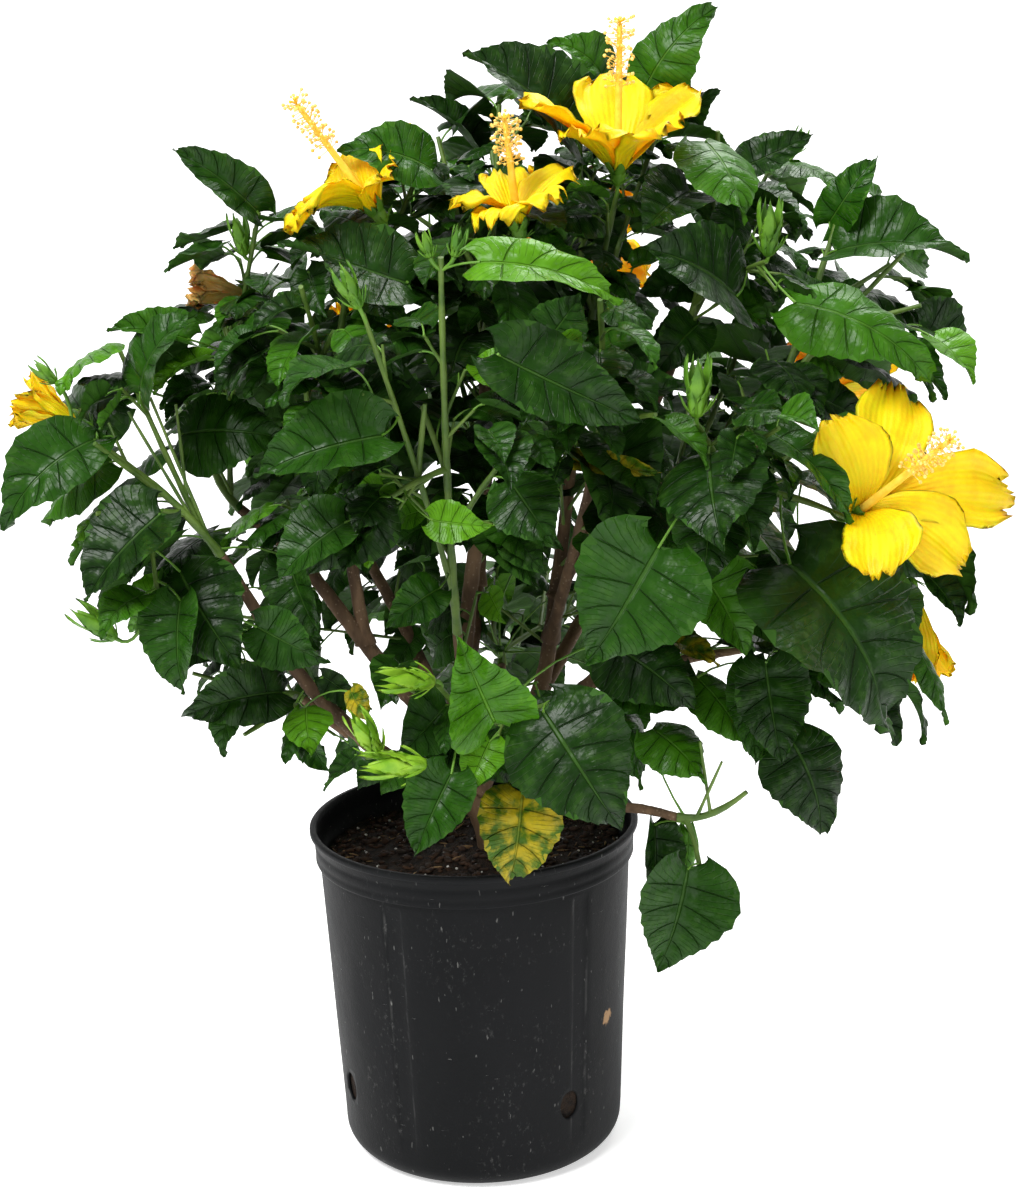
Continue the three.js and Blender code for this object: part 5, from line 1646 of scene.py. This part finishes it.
def pot_finish():
    """Black moulded plastic: dust, fine pale scratches, worn strip edges and one tan scuff."""
    finish = Finish("pot_plastic", Specular_IOR_Level=0.1)
    x, y, z = finish.place.split()
    cloud = finish.noise(0.05, 4)
    dust = finish.noise(0.0035, 5, (1, 1, 0.6), 0.7).step(0.5, 0.76) * cloud.step(0.35, 0.68)
    haze = finish.noise(0.09, 3, (1, 1, 0.5)).step(0.35, 0.75)
    scratch = finish.noise(0.006, 6, (0.35, 0.35, 2.6), 0.75).step(0.665, 0.7)
    scratch = scratch * finish.noise(0.03, 2).step(0.5, 0.62)
    nick = finish.noise(0.0022, 2, (1, 1, 0.25), 0.4).step(0.72, 0.76)
    turn = finish.node("ShaderNodeMath", {"operation": "ARCTAN2"}, {0: x, 1: y * -1.0}) * (180 / math.pi)
    strip = (turn - STRIP_FIRST + 360.0 + 180 / STRIPS) * (STRIPS / 360)
    apart = abs(strip.fraction() - 0.5) * (360 / STRIPS)
    edge = (abs(apart - STRIP_HALF)).step(0.9, 0.1) * finish.noise(0.008, 4, (1, 1, 0.3)).step(0.42, 0.62)
    edge = edge * z.step(0.03, 0.05) * z.step(0.242, 0.236)
    values = {0: finish.place, 1: SCUFF}
    scuff = finish.node("ShaderNodeVectorMath", {"operation": "DISTANCE"}, values, output=1)
    scuff = (scuff + (finish.noise(0.004, 3) - 0.5) * 0.012).step(0.0075, 0.004)
    worn = dust * 0.36 + scratch * 0.8 + nick * 0.45 + edge * 0.2
    colour = finish.blend(haze, POT_BLACK, POT_GREY)
    colour = finish.blend(worn.step(0, 1), colour, POT_DUST)
    finish.feed("Base Color", finish.blend(scuff, colour, POT_SCUFF))
    finish.feed("Roughness", 0.5 + 0.25 * dust + 0.15 * haze)
    finish.bump(finish.noise(0.0016, 3) * 0.4 - scratch * 0.6 + finish.noise(0.02, 2), 0.0005)
    return finish.material


# ---------- soil ----------
SOIL_SIDES = 90
STREWN_WITHIN = 119
STEM_KEPT_FREE = 19


def soil_height(x, y):
    """The rough top of the soil, in millimetres."""
    sag = SOIL_SAG * (math.hypot(x, y) / POT_TOP_RADIUS) ** 2
    rough = noise.noise(Vector((x / 22, y / 22, 3))) * 2.2 + noise.noise(Vector((x / 7, y / 7, 9))) * 1.3
    return SOIL_LEVEL - 1.5 - sag + rough


def soil_mesh():
    """The filling of the pot under its rough top, a hair clear of the wall."""
    angles = even_turns(SOIL_SIDES)
    inset = POT_WALL + GAP
    profile = [(40, inset), *rounded(wall_radius(POT_CORNER) - POT_WALL - GAP, inset, POT_CORNER - POT_WALL)]
    profile += [(wall_radius(z) - POT_WALL - GAP, z) for z in (60, 120, 180, 238)]
    rings = [pot_ring(radius, angles, z) for radius, z in profile]
    for radius in (*np.arange(120, 4, -4.5), 2):
        x, y = radius * np.sin(angles), -radius * np.cos(angles)
        rings.append(np.stack([x, y, [soil_height(*place) for place in zip(x, y)]], -1))
    skin = Skin()
    skin.loft(rings)
    return skin.mesh("potting_soil")


def crumb_mesh(name, seed, stretch):
    """An uneven lump a millimetre across, of a few dozen faces."""
    mesh = bpy.data.meshes.new(name)
    lump = bmesh.new()
    bmesh.ops.create_icosphere(lump, subdivisions=1, radius=0.5 * MM)
    for vertex in lump.verts:
        vertex.co *= 1 + 0.35 * noise.noise(vertex.co * 2200 + Vector((seed, 0, 0)))
        vertex.co = Vector(c * s for c, s in zip(vertex.co, stretch))
    lump.to_mesh(mesh)
    lump.free()
    return bpy.data.objects.new(name, mesh)


def strewn(name, count, sizes, stretch, material, seed):
    """Crumbs strewn over the soil's top by a growth tree, with a seed of their own."""
    crumb = crumb_mesh(name + "_crumb", seed, stretch)
    random = seeded(seed)
    places, turns, scales = [], [], []
    while len(places) < count:
        radius, angle = STREWN_WITHIN * math.sqrt(random()), 2 * math.pi * random()
        x, y = radius * math.cos(angle), radius * math.sin(angle)
        draws = [random() for _ in range(4)]
        if math.hypot(x - TRUNK["course"][0][0], y) < STEM_KEPT_FREE:
            continue
        size = mix(sizes, draws[0] ** 2)
        places.append((x * MM, y * MM, (soil_height(x, y) + 0.15 * size) * MM))
        turns += [0.5 * (draws[1] - 0.5), 0.5 * (draws[2] - 0.5), 2 * math.pi * draws[3]]
        scales += [size] * 3
    piece = scatter_growth(name, crumb, material).applied(bare_points(name, places, turns, scales), name)
    bpy.data.objects.remove(crumb)
    return piece


# ---------- the courses of the thin rods ----------
# Radii at foot and tip, in millimetres.
SHOOT_RADII = {"stem": (STEM_RADIUS, TWIG_RADIUS), "twig": (2.6, 1.7), "fine": (1.5, 1.1)}
SHOOT_STEP = 9
SHOOT_SWELL = 0.1
STALK_SIDES = 6
PETIOLE_SHAPE = np.array([1.5, 1, 0.9, 0.9, 1, 1.15])
COLUMN_RADII = (3.3, 1.9)


def shoot_courses():
    """Each shoot along its smooth bend, a little thicker at every leaf."""
    hosts = [(shoot, "twig" if i else "stem")
             for shoots in SHRUB.shoots.values() for i, shoot in enumerate(shoots)]
    hosts += [(twig, "twig") for _, twig in SHRUB.twigs] + [(twig, "fine") for twig in SHRUB.fine_twigs]
    courses = []
    for shoot, kind in hosts:
        shares = np.linspace(0, 1, max(4, int(shoot.span / SHOOT_STEP)) + 1)
        swell = 1 + SHOOT_SWELL * np.cos(2 * np.pi * shares * shoot.span / NODE_SPACING)
        courses.append(([shoot.bend.place(share) for share in shares], mix(SHOOT_RADII[kind], shares) * swell))
    return courses


def leaf_stalks(radius):
    """Each petiole from its shoot to a little way along its blade, thicker under a longer one."""
    courses = []
    shares = np.linspace(0, 1, len(PETIOLE_SHAPE))
    for leaf in SHRUB.leaves:
        root, base = leaf["root"], leaf["base"]
        ahead = unit(leaf["tip"] - base)
        reach = base - root
        bow = 0.45 * np.linalg.norm(reach) * unit(unit(reach) + 0.5 * ahead)
        bend = Bend(root, base - bow, base + ahead * 2)
        size = radius * (0.75 + 0.25 * np.linalg.norm(leaf["tip"] - base) / LEAF_LENGTH[1])
        courses.append(([bend.place(share) for share in shares], size * PETIOLE_SHAPE))
    return courses


def bloom_stalks():
    """Each bloom's and bud's stalk, wider where it meets the calyx."""
    shares = np.linspace(0, 1, 9)
    radii = 1.3 + 0.25 * shares
    radii[-1] = 1.9
    return [([each["stalk"].place(share) for share in shares], radii) for each in SHRUB.blooms + SHRUB.buds]


def column_skin(blooms):
    """The columns, each narrowing towards its stamens and ending in five short arms."""
    skin = Skin()
    for bloom in blooms:
        way = bloom["way"]
        start = bloom["start"] + way * CALYX * 0.6
        end = bloom["start"] + way * (CALYX + COLUMN_SHARE * bloom["petal"] * 0.93)
        tube(skin, Bend(start, (start + end) / 2, end), lambda share: mix(COLUMN_RADII, share), 10, 6)
        for i in range(PETALS):
            tip = end + way * 4.5 + spoke(way, 2 * math.pi * i / PETALS + 0.3) * 4
            tube(skin, Bend(end - way, end + way * 3, tip), lambda share: 0.55 + 0.7 * share**3, 6, 1.5)
    return skin


# ---------- what a user can change ----------
def colour_prop(name, description, default):
    return bpy.props.FloatVectorProperty(
        name=name, description=description, default=default, subtype="COLOR", size=3, min=0, max=1)


def power_prop(name, description, default):
    return bpy.props.FloatProperty(name=name, description=description, default=default, unit="POWER")


class CrownSizes(bpy.types.PropertyGroup):
    blade_width: bpy.props.FloatProperty(
        name="Blade width", description="Width of a leaf blade over its usual width",
        default=1.0, min=0.5, max=1.5)
    petiole_radius: bpy.props.FloatProperty(
        name="Petiole radius", description="Radius of a leaf's stalk",
        default=0.95 * MM, unit="LENGTH", min=0.0001)
    shoot_sides: bpy.props.IntProperty(
        name="Shoot sides", description="Corners round a green shoot", default=9, min=3)


class BloomSizes(bpy.types.PropertyGroup):
    stamens: bpy.props.IntProperty(name="Stamens", description="Stamens on each column", default=90, min=5)
    heart: colour_prop("Petal", "Colour of a petal's broad part", (0.95, 0.54, 0.001))
    sheen: colour_prop("Sheen", "Colour of a petal's paler patches", (0.97, 0.68, 0.002))
    edge: colour_prop("Edge", "Colour of a petal's ruffled edge", (0.93, 0.43, 0.002))


class SoilSizes(bpy.types.PropertyGroup):
    chips: bpy.props.IntProperty(name="Bark chips", description="Bark chips on the soil", default=1500, min=0)
    perlite: bpy.props.IntProperty(name="Perlite", description="White grains on the soil", default=170, min=0)


class StageSizes(bpy.types.PropertyGroup):
    floor: colour_prop("Floor", "Colour of the floor and backdrop", (0.9, 0.9, 0.9))
    glow: bpy.props.FloatProperty(name="Glow", description="Brightness of the backdrop itself", default=0.5)
    key: power_prop("Key light", "Power of the main soft light", 80)
    top: power_prop("Top light", "Power of the light from behind", 45)
    fill: power_prop("Fill light", "Power of the light from the front", 18)
    sky: bpy.props.FloatProperty(name="Sky", description="Strength of the light from all round", default=0.28)


GROUPS = {"crown": CrownSizes, "bloom": BloomSizes, "soil": SoilSizes, "stage": StageSizes}


def sizes(group):
    return getattr(bpy.context.scene, "hibiscus_" + group)


# ---------- one operator for each piece or group of like pieces ----------
class Build:
    """What the operators share."""

    bl_options = {"REGISTER", "UNDO"}

    def execute(self, context):
        self.build()
        return {"FINISHED"}


# The stage, in metres: a floor that sweeps up behind the plant, the lights round it and the camera.
STAGE_HALF = 7.0
SWEEP_START, SWEEP_RADIUS, WALL_HEIGHT = 4.2, 1.4, 7.0
WALL_GLOW, GLOW_FADES = 0.8, (1.0, 4.0)
LIGHTS = {
    "key": (1.3, (-1.1, -1.3, 2.5), (0.03, 0, 0.5)),
    "top": (1.3, (0.7, 0.9, 2.4), (0.03, 0, 0.6)),
    "fill": (1.6, (1.9, -2.0, 1.2), (0.03, 0, 0.45)),
}
CAMERA_PLACE = Vector((0.0365, -1.7, 0.888))
CAMERA_PITCH, CAMERA_ROLL, CAMERA_LENS = 0.2475, 0.030, 67.24


def floor_mesh():
    """A floor with a rounded sweep up to a wall."""
    bend = np.linspace(0, math.pi / 2, 17)[1:]
    profile = [(-STAGE_HALF, 0.0), (SWEEP_START, 0.0)]
    profile += [(SWEEP_START + SWEEP_RADIUS * math.sin(a), SWEEP_RADIUS * (1 - math.cos(a))) for a in bend]
    profile.append((SWEEP_START + SWEEP_RADIUS, WALL_HEIGHT))
    places = [(x, y, z) for y, z in profile for x in (-STAGE_HALF, STAGE_HALF)]
    faces = [(2 * i, 2 * i + 1, 2 * i + 3, 2 * i + 2) for i in range(len(profile) - 1)]
    sweep = bpy.data.meshes.new("floor")
    sweep.from_pydata(places, [], faces)
    sweep.polygons.foreach_set("use_smooth", [True] * len(faces))
    return sweep


def floor_finish(stage):
    """Pale and faintly glowing, brighter on the wall."""
    finish = Finish("floor", Roughness=0.9, Specular_IOR_Level=0.1, Emission_Strength=1.0)
    finish.feed("Base Color", finish.scaled(stage.floor, 0.98 + 0.04 * finish.noise(0.5, 2)))
    far = finish.place.split()[1].step(*GLOW_FADES)
    finish.feed("Emission Color", finish.blend(far, (stage.glow,) * 3, (WALL_GLOW,) * 3))
    return finish.material


class HIBISCUS_OT_stage(Build, bpy.types.Operator):
    """Pale floor, soft lights and the camera"""

    bl_idname = "hibiscus.stage"
    bl_label = "Stage"

    def build(self):
        scene, stage = bpy.context.scene, sizes("stage")
        scene.view_settings.view_transform = "Standard"
        sweep = floor_mesh()
        sweep.materials.append(floor_finish(stage))
        linked("floor", sweep)
        scene.world = bpy.data.worlds.new("studio")
        scene.world.use_nodes = True
        sky = scene.world.node_tree.nodes["Background"]
        sky.inputs["Color"].default_value, sky.inputs["Strength"].default_value = (1, 1, 1, 1), stage.sky
        for name, (width, place, aim) in LIGHTS.items():
            light = bpy.data.lights.new(name + "_light", "AREA")
            light.energy, light.size, light.shape = getattr(stage, name), width, "DISK"
            lamp = linked(name + "_light", light)
            lamp.location = place
            lamp.rotation_euler = (Vector(aim) - Vector(place)).to_track_quat("-Z", "Y").to_euler()
        camera = bpy.data.cameras.new("camera")
        camera.lens, camera.sensor_width, camera.clip_end = CAMERA_LENS, 36, 50
        viewer = linked("camera", camera)
        turn = Matrix.Rotation(math.pi / 2 - CAMERA_PITCH, 4, "X") @ Matrix.Rotation(-CAMERA_ROLL, 4, "Z")
        viewer.matrix_world = Matrix.Translation(CAMERA_PLACE) @ turn
        scene.camera = viewer


class HIBISCUS_OT_pot(Build, bpy.types.Operator):
    """The nursery pot with its lip, band, sunk strips and drain holes"""

    bl_idname = "hibiscus.pot"
    bl_label = "Pot"

    def build(self):
        piece = recessed(linked("pot_blank", pot_mesh()), drain_cutters(), "pot")
        dressed(piece, ["nursery_pot"], [pot_finish()])


# What lies on the soil: sizes in millimetres, stretch, two colours, the patches' size, gloss, relief and seed.
CRUMBS = {
    "bark_chips": ((1.5, 9), (1.3, 0.8, 0.4), (0.01, 0.006, 0.004), (0.055, 0.027, 0.014),
                   0.012, 0.8, 0.001, 0.25, 11),
    "wood_shreds": ((3, 8), (2.2, 0.3, 0.25), (0.13, 0.07, 0.03), (0.26, 0.17, 0.08),
                    0.01, 0.75, 0.001, 0.25, 13),
    "perlite": ((1.2, 3.2), (1, 0.9, 0.8), (0.42, 0.4, 0.36), (0.75, 0.73, 0.68),
                0.003, 0.8, 0.0006, 0.3, 17),
}
CHIPS_A_SHRED = 12


class HIBISCUS_OT_soil(Build, bpy.types.Operator):
    """The potting soil with its bark chips, wood shreds and perlite"""

    bl_idname = "hibiscus.soil"
    bl_label = "Soil"

    def build(self):
        soil = sizes("soil")
        dark = plain_finish("soil", (0.006, 0.004, 0.003), (0.03, 0.018, 0.011), 0.006, 0.85, 0.003, 0.2)
        dressed(linked("soil", soil_mesh()), ["potting_soil"], [dark])
        counts = {"bark_chips": soil.chips, "wood_shreds": soil.chips // CHIPS_A_SHRED, "perlite": soil.perlite}
        for name, (spread, stretch, *looks, seed) in CRUMBS.items():
            dressed(strewn(name, counts[name], spread, stretch, plain_finish(name, *looks), seed))


class HIBISCUS_OT_limbs(Build, bpy.types.Operator):
    """The trunk and boughs under their bark"""

    bl_idname = "hibiscus.limbs"
    bl_label = "Limbs"

    def build(self):
        nodes = ["trunk", *("bough_" + name for name in BOUGHS)]
        dressed(linked("limbs", limb_skin().mesh("limbs")), nodes, [bark_finish()])


class HIBISCUS_OT_twigs(Build, bpy.types.Operator):
    """Green shoots, finer twigs, petioles and flower stalks"""

    bl_idname = "hibiscus.twigs"
    bl_label = "Twigs"

    def build(self):
        crown = sizes("crown")
        stem = plain_finish("shoot_green", (0.05, 0.11, 0.012), (0.12, 0.2, 0.03), 0.02, 0.5, 0.0006)
        fresh = plain_finish("stalk_green", (0.07, 0.19, 0.012), (0.14, 0.3, 0.03), 0.02, 0.5, 0.0004)
        dressed(rods("shoots", shoot_courses(), stem, crown.shoot_sides),
                ["foliage_" + name for name in MASSES])
        stalks = leaf_stalks(crown.petiole_radius / MM) + bloom_stalks()
        dressed(rods("leaf_stalks", stalks, fresh, STALK_SIDES))


class HIBISCUS_OT_leaves(Build, bpy.types.Operator):
    """The leaves, apart by tone, in pieces of under 200,000 triangles"""

    bl_idname = "hibiscus.leaves"
    bl_label = "Leaves"

    def build(self):
        for piece in grow_leaves(sizes("crown").blade_width):
            dressed(piece)


BLOOM_SEED, BUD_SEED = 23, 29
# The buds that start lower than this, in millimetres, are the lime ones on the front.
LIME_BELOW = 450


class HIBISCUS_OT_blooms(Build, bpy.types.Operator):
    """The blooms: petals, columns and stamens"""

    bl_idname = "hibiscus.blooms"
    bl_label = "Blooms"

    def build(self):
        bloom = sizes("bloom")
        gold = petal_finish("petal_gold", bloom.heart, bloom.sheen, bloom.edge)
        faded = petal_finish("petal_faded", (0.7, 0.33, 0.06), (0.8, 0.48, 0.14), (0.5, 0.22, 0.06))
        random = seeded(BLOOM_SEED)
        fresh, withered = Skin(), Skin()
        for index, each in enumerate(SHRUB.blooms):
            (withered if index == WITHERED else fresh).take(bloom_skin(index, each, random))
        open_blooms = [each for each in SHRUB.blooms if each["tilt"] > math.radians(COLUMN_SHOWS)]
        dressed(linked("petals", fresh.mesh("petals", "petal")), (), [gold])
        dressed(linked("withered_petals", withered.mesh("withered_petals", "petal")), (), [faded])
        column = plain_finish("column", (0.85, 0.5, 0.02), (0.95, 0.68, 0.08), 0.01, 0.5, 0.0003)
        pollen = plain_finish("pollen", (0.85, 0.5, 0.07), (0.97, 0.76, 0.24), 0.004, 0.7, 0.0003)
        dressed(linked("columns", column_skin(open_blooms).mesh("columns")), (), [column])
        grain = bpy.data.objects.new("stamen", stamen_mesh())
        points = stamen_points(open_blooms, bloom.stamens)
        stamens = scatter_growth("stamens", grain, pollen).applied(points, "stamens")
        bpy.data.objects.remove(grain)
        dressed(stamens)


class HIBISCUS_OT_buds(Build, bpy.types.Operator):
    """Green buds with their bracts, and the calyx under each bloom"""

    bl_idname = "hibiscus.buds"
    bl_label = "Buds"

    def build(self):
        random = seeded(BUD_SEED)
        green = plain_finish("calyx_green", (0.05, 0.16, 0.006), (0.13, 0.3, 0.015), 0.015, 0.5, 0.0004)
        lime = plain_finish("bud_lime", (0.14, 0.34, 0.01), (0.3, 0.52, 0.03), 0.015, 0.45, 0.0004)
        cups, buds, closed = Skin(), Skin(), Skin()
        for each in SHRUB.blooms:
            cups.take(calyx_skin(each, random))
        for each in SHRUB.buds:
            (buds if each["start"][2] < LIME_BELOW else closed).take(bud_skin(each, random))
        for name, skin in {"calyces": cups, "buds": buds, "closed_buds": closed}.items():
            dressed(linked(name, skin.mesh(name)), (), [lime if skin is buds else green])


class HIBISCUS_PT_pieces(bpy.types.Panel):
    """Lists the shrub's pieces and what can be changed"""

    bl_idname = "HIBISCUS_PT_pieces"
    bl_label = "Potted hibiscus"
    bl_space_type = "VIEW_3D"
    bl_region_type = "UI"
    bl_category = "Hibiscus"

    def draw(self, context):
        for name in ORDER:
            self.layout.operator("hibiscus." + name)
        for group in GROUPS:
            settings = getattr(context.scene, "hibiscus_" + group)
            for prop in settings.bl_rna.properties:
                if prop.identifier not in ("name", "rna_type"):
                    self.layout.prop(settings, prop.identifier)


OPERATORS = (HIBISCUS_OT_stage, HIBISCUS_OT_pot, HIBISCUS_OT_soil, HIBISCUS_OT_limbs, HIBISCUS_OT_twigs,
             HIBISCUS_OT_leaves, HIBISCUS_OT_blooms, HIBISCUS_OT_buds)
ORDER = tuple(each.bl_idname.split(".")[1] for each in OPERATORS)
CLASSES = (*GROUPS.values(), *OPERATORS, HIBISCUS_PT_pieces)


def register():
    for each in CLASSES:
        bpy.utils.register_class(each)
    for group, kind in GROUPS.items():
        setattr(bpy.types.Scene, "hibiscus_" + group, bpy.props.PointerProperty(type=kind))


def unregister():
    for group in GROUPS:
        delattr(bpy.types.Scene, "hibiscus_" + group)
    for each in reversed(CLASSES):
        bpy.utils.unregister_class(each)


SHRUB = Shrub()


def main():
    register()
    for name in ORDER:
        getattr(bpy.ops.hibiscus, name)()
    bpy.context.view_layer.update()


if __name__ == "__main__":
    main()
